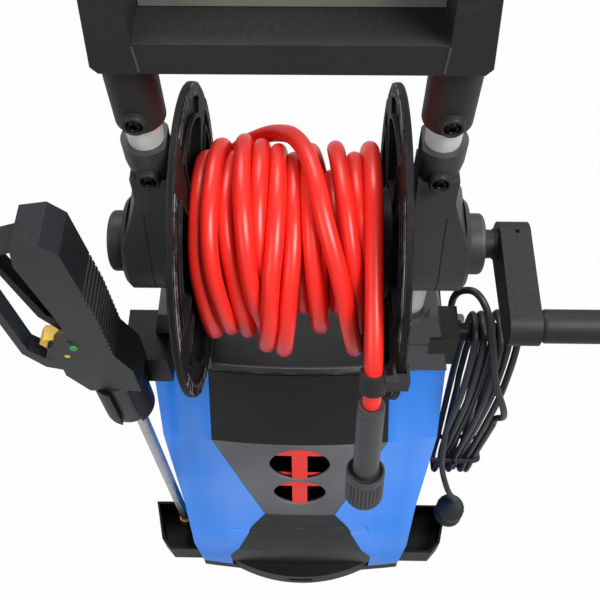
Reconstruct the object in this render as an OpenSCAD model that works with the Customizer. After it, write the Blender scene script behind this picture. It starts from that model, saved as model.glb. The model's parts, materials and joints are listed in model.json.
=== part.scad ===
// Upright electric pressure washer with a hose reel, trigger gun and cord storage.
// Millimetres, +Z up, front towards -Y. The origin is on the floor, below the middle of the reel's axle line.

/* [Body] */
// Height of the top deck above the floor
deck_z = 440; // [410:1:470]
// Thickness of the deck plate
deck_t = 5; // [4:0.5:8]
// Half width of the body at the deck
body_half_top = 148; // [142:1:154]
// Half width of the body at the front crease
body_half_crease = 156; // [150:1:160]
// Half width of the body at the foot of the vee panel
body_half_vee = 142; // [138:1:146]
// Half width of the body at its lower edge
body_half_foot = 132; // [126:1:136]
// Height of the crease across the front
crease_z = 298; // [280:1:315]
// Height of the lower end of the vee panel
vee_z = 176; // [165:1:190]
// Height where the front turns upright
knee_z = 104; // [95:1:115]
// Lower edge of the side fairings
skirt_z = 28; // [22:1:40]
// How far the front edge of the deck stands in front of the reel axis
lip_fwd = 20; // [15:1:25]
// How far the crease stands in front of the reel axis
crease_fwd = 42; // [34:1:50]
// How far the foot of the vee panel stands in front of the reel axis
vee_fwd = 86; // [76:1:94]
// How far the upright lower front stands in front of the reel axis
knee_fwd = 112; // [104:1:116]
// Distance from the reel axis back to the rear wall
body_back = 150; // [145:1:165]
// Radius of the bow of the front, seen from above
bow_r = 900; // [700:10:1400]
// Wall thickness of the covers
wall = 3; // [2.4:0.1:3.6]
// Gap between covers that meet
seam = 0.4; // [0.2:0.1:0.8]
// Where the front covers end and the rear cover starts
split_y = 60; // [45:1:75]
// Half width of the vee panel at its foot
vee_half = 43; // [36:1:50]
// Half width of the dark panel at the crease
panel_half_crease = 100; // [92:1:106]
// Half width of the dark panel at the deck
panel_half_top = 91; // [84:1:98]

/* [Windows] */
// Width of the upper window
window_w = 70; // [60:1:74]
// Height of the upper window
window_h = 50; // [44:1:52]
// Width of the lower window
low_window_w = 62; // [54:1:66]
// Height of the lower window
low_window_h = 40; // [34:1:44]
// Width of the upright bar of the insert
insert_bar = 18; // [12:1:22]

/* [Base] */
// How far the side pockets stand out past the foot of the body
pocket_out = 68; // [60:1:74]
// Height of the rubber feet
foot_h = 10; // [8:1:14]
// Radius of the rubber feet
foot_r = 16; // [12:1:18]
// Thickness of the base floor
base_floor = 4; // [3:0.5:6]
// Top of the front bumper
bumper_z = 46; // [42:1:52]
// How far the bumper's nose stands in front of the reel axis
bumper_fwd = 131; // [127:1:136]
// Radius of the bumper's nose, seen from above
bumper_r = 193; // [180:1:230]
// Top of the two side pockets
pocket_z = 56; // [46:1:70]
// Front edge of the side pockets
pocket_front = 99; // [94:1:102]
// Rear edge of the side pockets
pocket_rear = 34; // [28:1:36]

/* [Wheels] */
// Outer radius of the tyres
wheel_r = 90; // [82:1:92]
// Width of a tyre
wheel_w = 34; // [28:1:38]
// Distance from the middle to the inner face of a wheel
wheel_in = 152; // [150:1:156]
// Distance of the wheel axle behind the reel axis
axle_y = 125; // [118:1:128]
// Radius of the wheel axle
wheel_axle_r = 6; // [5:0.5:7]
// Thickness of the tyre rubber
tyre_t = 14; // [10:1:18]

/* [Columns and tubes] */
// Top of the two columns
column_z = 541; // [525:1:555]
// Half width across the columns at their top
column_half_top = 126; // [122:1:132]
// Distance of the tube centres from the middle
tube_x = 100.5; // [100:0.5:102]
// Outer radius of the tubes
tube_r = 12.5; // [11.5:0.5:12.5]
// Wall of the tubes
tube_wall = 1.5; // [1.2:0.1:2.5]
// Clearance round a tube in its sockets
tube_fit = 0.2; // [0.1:0.05:0.3]
// Distance of the inner flats of columns and brackets from the middle
inner_flat = 86.5; // [86:0.1:87]

/* [Brackets] */
// Radius of the reel bearing hubs
hub_r = 38; // [34:1:42]
// Distance of the outer face of a hub from the middle
hub_out = 134; // [128:1:138]
// Radius of the tube collars
collar_r = 17.5; // [16.5:0.5:19]
// Top of the tube collars
collar_z = 764; // [752:1:770]
// Radius of the bearing caps
cap_r = 24.5; // [20:0.5:28]
// Length of the bearing caps
cap_len = 14; // [10:1:18]
// Radius of the bearing bushes
bush_r = 12; // [11:0.5:14]

/* [Handle] */
// Lower end of the handle sleeves
sleeve_z = 785; // [775:1:795]
// Outer radius of the handle sleeves
sleeve_r = 17; // [16:0.1:18]
// Underside of the handle frame
frame_z = 845; // [835:1:860]
// Height of the lower bar of the handle
bar_h = 22; // [18:1:28]
// Half width of the handle frame
frame_half = 116; // [114:1:122]
// Width of the side arms of the handle
arm_w = 27; // [22:1:30]
// How far the handle frame reaches forward of the tubes
frame_fwd = 25; // [20:1:30]
// How far the handle frame reaches back from the tubes
frame_rear = 22; // [18:1:28]
// Height of the handle frame
handle_h = 127; // [115:1:150]
// Radius of the grip
grip_r = 16; // [14:0.5:18]

/* [Reel] */
// Height of the reel axis
reel_z = 640; // [630:1:650]
// Sideways place of the middle of the reel
reel_x = -2; // [-2.5:0.5:0]
// Radius of the reel flanges
flange_r = 125; // [115:1:130]
// Clear width between the flanges
flange_gap = 152; // [150:1:153]
// Thickness of the flange rims
rim_t = 6; // [5:0.5:6.5]
// Radial depth of the flange rims
rim_depth = 9; // [8:0.5:12]
// Thickness of the flange webs
web_t = 3; // [2.5:0.5:4]
// Number of windows in a flange
flange_windows = 5; // [4:1:6]
// Radius of the reel drum
drum_r = 44; // [40:1:46]
// Radius of the reel axle
axle_r = 8; // [7:0.5:9]
// Running clearance round the reel and wheel axles
run_fit = 0.05; // [0.02:0.01:0.08]

/* [Crank] */
// Distance from the reel axis to the crank knob
crank_len = 75; // [65:1:90]
// Thickness of the crank arm
crank_t = 24; // [18:1:28]
// Radius of the crank arm at the axle
crank_r = 18; // [15:1:20]
// Radius of the crank arm at the knob
crank_end_r = 15; // [12:1:17]
// Distance between the right bearing cap and the crank arm
crank_gap = 12; // [8:1:16]
// Radius of the crank knob
knob_r = 13; // [11:0.5:15]
// Length of the crank knob
knob_len = 58; // [45:1:70]

/* [Hose] */
// Outer diameter of the high-pressure hose
hose_d = 13.6; // [12:0.1:13.7]
// Radius of the outer layer of turns
coil_r = 71; // [69:0.5:73]
// Distance between turns of the outer layer
coil_pitch = 14.2; // [14.2:0.1:14.4]
// Forward lean of the hose end
hose_lean = 15; // [12:1:18]
// Radius of the hose ferrule
ferrule_r = 10.4; // [9.5:0.1:11]
// Length of the hose ferrule
ferrule_len = 82; // [70:1:90]
// Radius of the hose nut
nut_r = 15.6; // [14.5:0.1:17]
// Length of the hose nut
nut_len = 38; // [32:1:44]
// Radius of the thread bore in the hose nut
nut_bore_r = 10.2; // [10:0.1:11]
// Depth of the thread bore in the hose nut
nut_bore_len = 18; // [14:1:22]

/* [Gun] */
// Sideways distance of the lance from the foot of the body
gun_out = 24; // [22:0.5:28]
// How far the lance stands in front of the reel axis
gun_fwd = 60; // [56:1:64]
// Height of the gun's shoulder when it hangs in its holster
gun_z = 520; // [500:1:540]
// Radius of the lance tube
lance_r = 6; // [5:0.5:7]
// Radius of the barrel of the gun
barrel_r = 19; // [17:0.5:20]
// Thickness of the grip of the gun
gun_t = 36; // [30:1:38]
// Radial clearance between the gun and its holster
holster_fit = 1.2; // [0.8:0.1:1.5]
// Wall of the holster
holster_wall = 3.5; // [3:0.5:4]

/* [Power cord] */
// Diameter of the power cord
cord_d = 7; // [6:0.5:7.5]
// Number of loops in the stored cord
hank_loops = 6; // [4:1:7]
// Distance between the loops of the stored cord
hank_pitch = 8; // [8:0.1:8.2]

/* [Motor and pump] */
// Radius of the pump body
pump_r = 46; // [42:1:48]
// Height of the pump head
head_h = 42; // [36:1:44]
// Underside of the pump head
pump_z = 60; // [56:1:62]
// Radius of the motor casing
motor_r = 48; // [44:1:50]
// Height of the motor casing
motor_h = 130; // [110:1:140]
// Lower end of the motor casing
motor_z = 192; // [186:1:200]
// Distance of the motor's axis behind the reel axis
motor_y = 58; // [54:1:62]
// Radius of the motor shaft
shaft_r = 6; // [5:0.5:7]
// Radius of the thread on the water inlet
inlet_r = 13.2; // [12:0.1:14]
// Length of the thread on the water inlet
inlet_len = 14; // [12:1:18]

/* [Hidden] */
$fn = 64;
e = 1; // overshoot of a cut past the face that it opens

black = [0.12, 0.12, 0.125];
charcoal = [0.2, 0.2, 0.21];
grey = [0.34, 0.34, 0.36];
blue = [0.1, 0.42, 0.92];
red = [0.9, 0.08, 0.07];
steel = [0.7, 0.7, 0.71];
brass = [0.72, 0.56, 0.25];
yellow = [0.98, 0.78, 0.2];
rubber = [0.07, 0.07, 0.07];
olive = [0.4, 0.39, 0.36];

// ---- helpers ----

// A box between two corners
module box(lo, hi) {
  translate(lo)
    cube(hi - lo);
}

// A cylinder along X, from x0 to x1
module xcyl(r, x0, x1, y = 0, z = 0) {
  translate([x0, y, z])
    rotate([0, 90, 0])
      cylinder(r = r, h = x1 - x0);
}

// A cylinder along Y, from y0 to y1
module ycyl(r, y0, y1, x = 0, z = 0) {
  translate([x, y0, z])
    rotate([-90, 0, 0])
      cylinder(r = r, h = y1 - y0);
}

// A cylinder along Z, from z0 to z1
module zcyl(r, z0, z1, x = 0, y = 0) {
  translate([x, y, z0])
    cylinder(r = r, h = z1 - z0);
}

// A front-view outline (X, Z), drawn out from y0 to y1
module front_view(y0, y1) {
  translate([0, y1, 0])
    rotate([90, 0, 0])
      linear_extrude(y1 - y0)
        children();
}

// A side-view outline (Y, Z), drawn out from x0 to x1
module side_view(x0, x1) {
  translate([x0, 0, 0])
    rotate([90, 0, 90])
      linear_extrude(x1 - x0)
        children();
}

// The same thing on the left (side = -1) or the right (side = 1)
module on_side(side) {
  if (side < 0) mirror([1, 0, 0]) children();
  else children();
}

// A screw: a round head with a hex socket and its shank, pointing into +Y
module screw(head_r, shank_r, len) {
  difference() {
    union() {
      ycyl(head_r, -screw_head_h, 0);
      ycyl(shank_r, 0, len);
    }
    ycyl_hex(head_r * 0.45, -screw_head_h - e, -screw_head_h * 0.4);
  }
}

module ycyl_hex(r, y0, y1) {
  translate([0, y0, 0])
    rotate([-90, 0, 0])
      cylinder(r = r, h = y1 - y0, $fn = 6);
}

// An oval of n points
function oval(w, h, n = 36) = [for (i = [0 : n - 1]) [w / 2 * cos(360 * i / n), h / 2 * sin(360 * i / n)]];

// Two circles and the straight sides between them, which run just inside both
module link(r1, r2, d) {
  inset = 0.25;
  a = acos((r1 - r2) / d);
  near = (r1 - inset) * [cos(a), sin(a)];
  away = [d, 0] + (r2 - inset) * [cos(a), sin(a)];
  circle(r = r1);
  translate([d, 0])
    circle(r = r2);
  polygon([near, away, [away[0], -away[1]], [near[0], -near[1]]]);
}

// ---- tubes swept along points ----

function unit(v) = v / norm(v);
function tangent(p, i) = unit(p[min(i + 1, len(p) - 1)] - p[max(i - 1, 0)]);
// Side vectors that turn as little as they can from ring to ring
function sides(p, i = 0, last = undef, out = []) =
  i == len(p) ? out :
  let (
    t = tangent(p, i),
    ref = i == 0 ? (abs(t[0]) < 0.8 ? [1, 0, 0] : [0, 0, 1]) : last,
    n = unit(ref - t * (ref * t))
  )
  sides(p, i + 1, n, concat(out, [n]));

// A round tube along the points p, with flat ends
module swept(p, r, n) {
  nrm = sides(p);
  rings = len(p);
  points = [
    for (i = [0 : rings - 1])
      let (t = tangent(p, i), a = nrm[i], b = cross(t, a))
      for (k = [0 : n - 1])
        p[i] + r * (cos(360 * k / n) * a + sin(360 * k / n) * b)
  ];
  walls = [
    for (i = [0 : rings - 2])
      for (k = [0 : n - 1])
        let (k2 = (k + 1) % n)
        for (f = [0 : 1])
          f == 0
            ? [i * n + k, (i + 1) * n + k, (i + 1) * n + k2]
            : [i * n + k, (i + 1) * n + k2, i * n + k2]
  ];
  first = [for (k = [1 : n - 2]) [0, k, k + 1]];
  end = (rings - 1) * n;
  last = [for (k = [1 : n - 2]) [end, end + k + 1, end + k]];
  polyhedron(points, concat(walls, first, last));
}

// A smooth run through hand-chosen points, m rings to a stretch
function spline(a, b, c, d, t) =
  0.5 * (2 * b + (c - a) * t + (2 * a - 5 * b + 4 * c - d) * t * t + (3 * b - a - 3 * c + d) * t * t * t);
function route(p, m) = concat(
  [
    for (i = [0 : len(p) - 2])
      for (j = [0 : m - 1])
        spline(p[max(i - 1, 0)], p[i], p[i + 1], p[min(i + 2, len(p) - 1)], j / m)
  ],
  [p[len(p) - 1]]
);

// Least distance between points of one run that are at least skip rings apart
function least_gap(p, skip) = min([
  for (i = [0 : len(p) - 1 - skip])
    for (j = [i + skip : len(p) - 1])
      norm(p[i] - p[j])
]);

// ---- derived sizes ----

screw_head_h = 3.5;
screw_head_r = 5;
screw_shank_r = 2.4;
flange_in_l = reel_x - flange_gap / 2;
flange_in_r = reel_x + flange_gap / 2;
cover_top = deck_z - deck_t - seam;
base_half = body_half_foot + pocket_out;
gun_x = body_half_foot + gun_out;
tray_z = foot_h;
tray_in = tray_z + base_floor;
cap_out = hub_out + cap_len;
crank_x = cap_out + crank_gap;
pump_body_z = pump_z + head_h;
far = 300; // past everything, for cuts

// The front of the body on the middle line: height, and distance in front of the reel axis
front_line = [
  [0, knee_fwd + 4], [knee_z, knee_fwd], [vee_z, vee_fwd], [crease_z, crease_fwd],
  [deck_z, lip_fwd]
];

// ---- body ----

bow_span = 34;
// The sides turn just off the heights where the front does
side_vee_z = vee_z + 2;
side_crease_z = crease_z - 2;

// The body as a solid, with every outer face set in by t, between two heights
module body_mass(t, z0, z1) {
  intersection() {
    translate([0, bow_r, 0])
      rotate([0, 0, -90 - bow_span / 2])
        rotate_extrude(angle = bow_span, $fn = 240)
          polygon(concat(
            [[bow_r - body_back - 2 * deck_t, deck_z], [bow_r - body_back - 2 * deck_t, 0]],
            [for (p = front_line) [bow_r + p[1] - t, p[0]]]
          ));
    front_view(-far, body_back - t)
      polygon([
        [body_half_foot - t, z0], [body_half_foot - t, skirt_z],
        [body_half_vee - t, side_vee_z], [body_half_crease - t, side_crease_z],
        [body_half_top - t, deck_z], [-body_half_top + t, deck_z],
        [-body_half_crease + t, side_crease_z], [-body_half_vee + t, side_vee_z],
        [-body_half_foot + t, skirt_z], [-body_half_foot + t, z0]
      ]);
    box([-far, -far, z0], [far, far, z1]);
  }
}

// The layer of the body between two depths below its outer face
module skin(t0, t1, z0, z1) {
  difference() {
    body_mass(t0, z0, z1);
    body_mass(t1, z0 - e, z1 + e);
  }
}

// Inner edge of a fairing, from the deck down: half widths and heights
nose_half = 56;
nose_z = 158;
toe_half = 92;
toe_z = 72;

module fairing_region() {
  front_view(-far, split_y)
    polygon([
      [panel_half_top, deck_z + e], [far, deck_z + e], [far, skirt_z],
      [toe_half, skirt_z], [toe_half, toe_z], [nose_half, nose_z],
      [vee_half, vee_z + seam / 2], [panel_half_crease, crease_z + seam / 2]
    ]);
}

step_depth = 1.6;
step_half = 88;
step_h = 15;

module fairing(side) {
  on_side(side)
    difference() {
      intersection() {
        skin(0, wall, skirt_z, cover_top);
        fairing_region();
      }
      // a shallow step beside the bare name strip
      difference() {
        front_view(-far, 0)
          polygon([
            [nose_half - 12, nose_z - 4], [step_half - 6, nose_z - 4],
            [step_half, nose_z - 4 - step_h],
            [nose_half - 2, nose_z - 4 - step_h]
          ]);
        body_mass(step_depth, skirt_z, deck_z);
      }
      // holes for the screws that hold the lower edge
      for (z = [skirt_z + 20, crease_z])
        xcyl(screw_shank_r, body_half_foot - 2 * wall, far, split_y - 14, z);
    }
}

module fairing_left() {
  color(blue)
    fairing(-1);
}

module fairing_right() {
  color(blue)
    fairing(1);
}

window_z = crease_z - 8 - window_h / 2;
low_window_z = window_z - window_h / 2 - 3 - low_window_h / 2;

// Both windows, grown by g on every side
module windows(g, y0, y1) {
  front_view(y0, y1) {
    translate([0, window_z])
      polygon(oval(window_w + 2 * g, window_h + 2 * g));
    translate([0, low_window_z])
      polygon(oval(low_window_w + 2 * g, low_window_h + 2 * g));
  }
}

module vee_panel() {
  color(grey)
    difference() {
      intersection() {
        skin(0, wall, vee_z - e, crease_z);
        front_view(-far, 0)
          polygon([
            [panel_half_crease - seam, crease_z - seam],
            [vee_half - seam, vee_z + seam], [-vee_half + seam, vee_z + seam],
            [-panel_half_crease + seam, crease_z - seam]
          ]);
      }
      windows(0, -far, 0);
    }
}

strip_h = 19;

module nose_panel() {
  color(charcoal)
    union() {
      intersection() {
        skin(0, wall, skirt_z, vee_z);
        front_view(-far, 0)
          polygon([
            [vee_half - seam, vee_z - seam], [nose_half - seam, nose_z],
            [toe_half - seam, toe_z], [toe_half - seam, bumper_z + seam],
            [-toe_half + seam, bumper_z + seam], [-toe_half + seam, toe_z],
            [-nose_half + seam, nose_z], [-vee_half + seam, vee_z - seam]
          ]);
      }
      // bare name strip
      intersection() {
        skin(-1.2, wall, skirt_z, vee_z);
        box(
          [-nose_half + 2, -far, nose_z - 6 - strip_h],
          [nose_half - 2, 0, nose_z - 6]
        );
      }
    }
}

module front_cover() {
  inner = wall + seam;
  panel_foot_z = crease_z + seam / 2;
  color(black)
    difference() {
      union() {
        intersection() {
          skin(inner, inner + wall, tray_in + seam, cover_top);
          box([-far, -far, 0], [far, split_y, far * 2]);
        }
        intersection() {
          skin(0, inner + 1, panel_foot_z, cover_top);
          front_view(-far, 0)
            polygon([
              [panel_half_top - seam, deck_z],
              [panel_half_crease - seam, panel_foot_z],
              [-panel_half_crease + seam, panel_foot_z],
              [-panel_half_top + seam, deck_z]
            ]);
        }
      }
      windows(2, -far, 0);
      // holes for the upper screws of the fairings
      for (side = [-1, 1])
        on_side(side)
          xcyl(screw_shank_r, body_half_foot - 3 * wall, far, split_y - 14, crease_z);
    }
}

insert_back = 2 * wall + 2 * seam;
band_share = 0.28;

// Side-to-side band along the top of a window
module window_band(w, h, z) {
  box([-w / 2 - 4, -far, z + h * band_share], [w / 2 + 4, 0, z + h / 2 + 4]);
}

module insert_shape() {
  box(
    [-insert_bar / 2, -far, low_window_z - low_window_h / 2 - 6],
    [insert_bar / 2, 0, window_z + window_h / 2 + 4]
  );
  window_band(window_w, window_h, window_z);
  window_band(low_window_w, low_window_h, low_window_z);
}

module window_insert() {
  color(red)
    union() {
      // back strip behind the front cover
      intersection() {
        skin(insert_back, insert_back + 2.5, vee_z, crease_z + 20);
        insert_shape();
      }
      // the part that fills the windows
      intersection() {
        skin(1.2, insert_back + 1, vee_z, crease_z);
        windows(-0.5, -far, 0);
        insert_shape();
      }
    }
}

vent_rows = 8;
vent_pitch = 11;

module rear_cover() {
  color(black)
    difference() {
      intersection() {
        skin(0, wall, skirt_z, cover_top);
        box([-far, split_y + seam, 0], [far, far, far * 2]);
      }
      // cooling slots
      for (i = [0 : vent_rows - 1])
        box(
          [-45, body_back - 2 * wall, 250 + vent_pitch * i],
          [45, body_back + e, 254 + vent_pitch * i]
        );
      // cut-outs for the switch, the inlet, the outlet and the wheel axle
      box(
        [-switch_w / 2 - seam, body_back - 2 * wall, switch_z - switch_h / 2 - seam],
        [switch_w / 2 + seam, body_back + e, switch_z + switch_h / 2 + seam]
      );
      ycyl(inlet_r + 2, body_back - 2 * wall, body_back + e, inlet_x, inlet_z);
      ycyl(feed_r + 2, body_back - 2 * wall, body_back + e, -inlet_x, inlet_z);
      xcyl(wheel_axle_r + 1, -far, far, axle_y, wheel_r);
      xcyl(cord_d, body_half_crease - 4 * wall, far, gland_y, gland_z);
    }
}

module top_deck() {
  rim = 2 * wall + 2 * seam;
  color(black)
    union() {
      body_mass(0, deck_z - deck_t, deck_z);
      // locating rim inside the covers
      difference() {
        body_mass(rim, deck_z - 3 * deck_t, deck_z - deck_t + e);
        body_mass(rim + wall, deck_z - 4 * deck_t, deck_z - deck_t);
      }
      // raised lip along the front
      intersection() {
        skin(0, 8, deck_z - deck_t, deck_z);
        box([-panel_half_top, -far, deck_z - 4], [panel_half_top, 10, deck_z + e]);
      }
    }
}

// ---- base ----

// The bumper's nose seen from above, set in by t
module nose_plan(t) {
  intersection() {
    translate([0, -bumper_fwd + bumper_r])
      circle(r = bumper_r - t, $fn = 180);
    translate([-toe_half + seam + t, -bumper_fwd])
      square([2 * (toe_half - seam - t), bumper_fwd - nose_back]);
  }
}

nose_back = 70; // how far in front of the reel axis the bumper's nose starts
pocket_wall = 3;
pocket_x0 = body_half_foot - 2;
axle_boss_r = wheel_axle_r + 6;
axle_boss_x0 = body_half_foot - 24;
axle_boss_x1 = body_half_foot - 6;
rim_top = skirt_z - seam;
stand_r = pump_r - 6;

// One side pocket, seen from above, set in by t
module pocket_plan(t) {
  polygon([
    [pocket_x0 + t, -pocket_rear - t], [base_half - t, -pocket_rear - t],
    [base_half - 12 - t, -pocket_front + 14 + t * 0.6],
    [base_half - 25 - t * 0.6, -pocket_front + t], [pocket_x0 + t, -pocket_front + t]
  ]);
}

module axle_bosses() {
  for (side = [-1, 1])
    on_side(side) {
      xcyl(axle_boss_r, axle_boss_x0, axle_boss_x1, axle_y, wheel_r);
      box(
        [axle_boss_x0, axle_y - axle_boss_r, tray_z],
        [axle_boss_x1, axle_y + axle_boss_r, wheel_r]
      );
    }
}

module base_tray() {
  color(black)
    difference() {
      union() {
        body_mass(0, tray_z, tray_in);
        skin(0, wall, tray_z, rim_top);
        // nose of the bumper, hollow behind its front wall
        difference() {
          translate([0, 0, tray_z])
            linear_extrude(bumper_z - tray_z)
              nose_plan(0);
          translate([0, 0, tray_in])
            linear_extrude(bumper_z - tray_in - wall)
              nose_plan(wall);
          body_mass(wall, tray_in, bumper_z + e);
        }
        // the two side pockets
        for (side = [-1, 1])
          on_side(side)
            difference() {
              translate([0, 0, tray_z])
                linear_extrude(pocket_z - tray_z)
                  pocket_plan(0);
              translate([0, 0, tray_in])
                linear_extrude(pocket_z)
                  pocket_plan(pocket_wall);
              // the side of the covers closes the pocket
              body_mass(-seam, rim_top, pocket_z + e);
              body_mass(wall, tray_in, pocket_z);
            }
        // belly pad that stands on the floor
        box([-45, -25, 0], [45, 15, tray_z + e]);
        axle_bosses();
        zcyl(stand_r, tray_z, pump_z, 0, motor_y);
      }
      xcyl(wheel_axle_r, -far, far, axle_y, wheel_r);
      // the pump's stand is hollow, open below
      zcyl(stand_r - 4, 0, pump_z - 4, 0, motor_y);
      // slot in the nose
      box([-16, -bumper_fwd - e, 24], [16, -bumper_fwd + 2, 34]);
      // seats of the feet
      for (side = [-1, 1])
        zcyl(foot_pin_r, 0, tray_in + e, side * foot_x, foot_y);
    }
}

foot_x = 88;
foot_y = -88;
foot_pin_r = 5;

module front_feet() {
  color(rubber)
    for (side = [-1, 1])
      translate([side * foot_x, foot_y, 0]) {
        cylinder(r1 = foot_r - 2, r2 = foot_r, h = foot_h);
        cylinder(r = foot_pin_r, h = foot_h + base_floor + 2);
      }
}

// ---- wheels ----

rim_r = wheel_r - tyre_t;
wheel_hub_r = 18;
wheel_mid = wheel_in + wheel_w / 2;

module wheel(side) {
  on_side(side)
    difference() {
      union() {
        difference() {
          xcyl(rim_r, wheel_in + 3, wheel_in + wheel_w - 3, axle_y, wheel_r);
          xcyl(rim_r - 5, wheel_in, wheel_mid - 2, axle_y, wheel_r);
          xcyl(rim_r - 5, wheel_mid + 2, wheel_in + wheel_w, axle_y, wheel_r);
        }
        xcyl(wheel_hub_r, wheel_in, wheel_in + wheel_w, axle_y, wheel_r);
        for (i = [0 : 4])
          translate([wheel_mid, axle_y, wheel_r])
            rotate([72 * i, 0, 0])
              box([-12, -3, wheel_hub_r - 2], [12, 3, rim_r - 4]);
      }
      xcyl(wheel_axle_r + run_fit, wheel_in - e, far, axle_y, wheel_r);
    }
}

module wheel_left() {
  color(charcoal)
    wheel(-1);
}

module wheel_right() {
  color(charcoal)
    wheel(1);
}

module tyre(side) {
  on_side(side)
    translate([wheel_mid, axle_y, wheel_r])
      rotate([0, 90, 0])
        rotate_extrude($fn = 128)
          polygon([
            [rim_r, -wheel_w / 2 + 3], [wheel_r - 4, -wheel_w / 2],
            [wheel_r, -wheel_w / 2 + 5], [wheel_r, wheel_w / 2 - 5],
            [wheel_r - 4, wheel_w / 2], [rim_r, wheel_w / 2 - 3]
          ]);
}

module tyre_left() {
  color(rubber)
    tyre(-1);
}

module tyre_right() {
  color(rubber)
    tyre(1);
}

axle_end = wheel_in + wheel_w + 5;

module wheel_axle() {
  color(steel)
    xcyl(wheel_axle_r, -axle_end, axle_end, axle_y, wheel_r);
}

module wheel_caps() {
  color(black)
    for (side = [-1, 1])
      on_side(side)
        difference() {
          xcyl(wheel_hub_r - 4, wheel_in + wheel_w + 0.4, axle_end + 3, axle_y, wheel_r);
          xcyl(wheel_axle_r, 0, axle_end, axle_y, wheel_r);
        }
}

// ---- columns and tubes ----

column_back = 48;
socket_wall = 3.5;
socket_top = column_z + 7;
tube_seat = deck_z + 25;
lower_tube_top = reel_z - 26;
upper_tube_foot = reel_z + 50;
upper_tube_top = frame_z + 8;

module column_mass(t) {
  intersection() {
    front_view(-far, far)
      polygon([
        [inner_flat + t, deck_z - t], [body_half_top - t, deck_z - t],
        [column_half_top - t, column_z - t], [inner_flat + t, column_z - t]
      ]);
    side_view(0, far)
      polygon([
        [-lip_fwd + 5 + t, deck_z - t], [column_back - t, deck_z - t],
        [column_back - 6 - t, column_z - t], [-lip_fwd + 8 + t, column_z - t]
      ]);
  }
}

module column(side) {
  on_side(side)
    difference() {
      union() {
        difference() {
          column_mass(0);
          difference() {
            column_mass(wall);
            zcyl(tube_r + socket_wall, tube_seat - wall, column_z, tube_x, 0);
          }
        }
        intersection() {
          zcyl(tube_r + socket_wall + 2, column_z - e, socket_top, tube_x, 0);
          box([inner_flat, -far, 0], [far, far, far * 3]);
        }
      }
      zcyl(tube_r + tube_fit, tube_seat, socket_top + e, tube_x, 0);
      // seam round the column
      difference() {
        box([inner_flat + wall, -far, column_z - 51], [far, far, column_z - 49.5]);
        column_mass(0.8);
        box([0, -far, 0], [inner_flat + wall, far, far * 3]);
      }
    }
}

module column_left() {
  color(grey)
    column(-1);
}

module column_right() {
  color(grey)
    column(1);
}

module frame_tube(side, z0, z1) {
  difference() {
    zcyl(tube_r, z0, z1, side * tube_x, 0);
    zcyl(tube_r - tube_wall, z0 - e, z1 + e, side * tube_x, 0);
  }
}

module frame_tubes() {
  color(steel)
    difference() {
      for (side = [-1, 1]) {
        frame_tube(side, tube_seat, lower_tube_top);
        frame_tube(side, upper_tube_foot, upper_tube_top);
      }
      screw_holes();
    }
}

// ---- brackets ----

bracket_screw_z = collar_z - 24;
sleeve_screw_z = sleeve_z + 11;

// Where the four screws of the handle tubes go in, from the front
module at_frame_screws() {
  for (side = [-1, 1]) {
    translate([side * tube_x, -collar_r, bracket_screw_z])
      children();
    translate([side * tube_x, -sleeve_r - 1, sleeve_screw_z])
      children();
  }
}

module screw_holes() {
  at_frame_screws()
    ycyl(screw_shank_r, -e, 2 * collar_r);
}

neck_z = reel_z + 96;
neck_half = 15;
shoulder_z = reel_z + 74;
drop_z = reel_z + 81;

// The hub from the side: a circle that runs up into the neck, grown by t
module drop_outline(t) {
  r = hub_r + t;
  half = neck_half + t;
  rise = drop_z - reel_z;
  a = atan(half / rise) + acos(r / norm([half, rise]));
  near = (r - 0.25) * [sin(a), cos(a)];
  translate([0, reel_z]) {
    circle(r = r);
    polygon([near, [half, rise], [-half, rise], [-near[0], near[1]]]);
  }
}

module bracket(side) {
  on_side(side)
    difference() {
      intersection() {
        union() {
          intersection() {
            side_view(inner_flat, hub_out - 4)
              drop_outline(0);
            front_view(-hub_r - 1, hub_r + 1)
              polygon([
                [inner_flat - 1, reel_z - hub_r - 1], [hub_out - 3, reel_z - hub_r - 1],
                [hub_out - 3, reel_z + 30],
                [tube_x + neck_half + 3, shoulder_z - 10],
                [tube_x + neck_half, shoulder_z],
                [tube_x + neck_half, drop_z + 1], [inner_flat - 1, drop_z + 1]
              ]);
          }
          translate([hub_out - 4, 0, reel_z])
            rotate([0, 90, 0])
              cylinder(r1 = hub_r, r2 = hub_r - 4, h = 4);
          // collar that widens out of the neck
          translate([tube_x, 0, neck_z - 6])
            cylinder(r1 = neck_half, r2 = collar_r, h = 18);
          zcyl(collar_r, neck_z + 12, collar_z, tube_x, 0);
          // square neck between the collar and the hub
          box(
            [inner_flat, -neck_half, shoulder_z],
            [tube_x + neck_half, neck_half, neck_z]
          );
          // port for the feed hose at the back of the left hub
          if (side < 0) ycyl(9, 0, feed_port_y, hub_mid, reel_z);
          // boss round the screw
          ycyl(boss_r, -collar_r, 0, tube_x, bracket_screw_z);
        }
        box([inner_flat, -far, 0], [far, far, far * 3]);
      }
      zcyl(tube_r + tube_fit, upper_tube_foot, collar_z + e, tube_x, 0);
      zcyl(tube_r + tube_fit, 0, lower_tube_top, tube_x, 0);
      xcyl(bush_r, 0, far, 0, reel_z);
      screw_holes();
      // parting line round the middle of the hub, up to the neck
      side_view(hub_mid - 0.6, hub_mid + 0.6)
        difference() {
          drop_outline(e);
          drop_outline(-0.8);
          translate([-hub_r, shoulder_z - 12])
            square([2 * hub_r, far]);
        }
    }
}

hub_mid = (inner_flat + hub_out) / 2;

module bracket_left() {
  color(charcoal)
    bracket(-1);
}

module bracket_right() {
  color(charcoal)
    bracket(1);
}

module reel_bushes() {
  color(brass)
    for (side = [-1, 1])
      on_side(side)
        difference() {
          xcyl(bush_r, inner_flat + 0.5, hub_out, 0, reel_z);
          xcyl(axle_r + run_fit, 0, far, 0, reel_z);
        }
}

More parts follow.
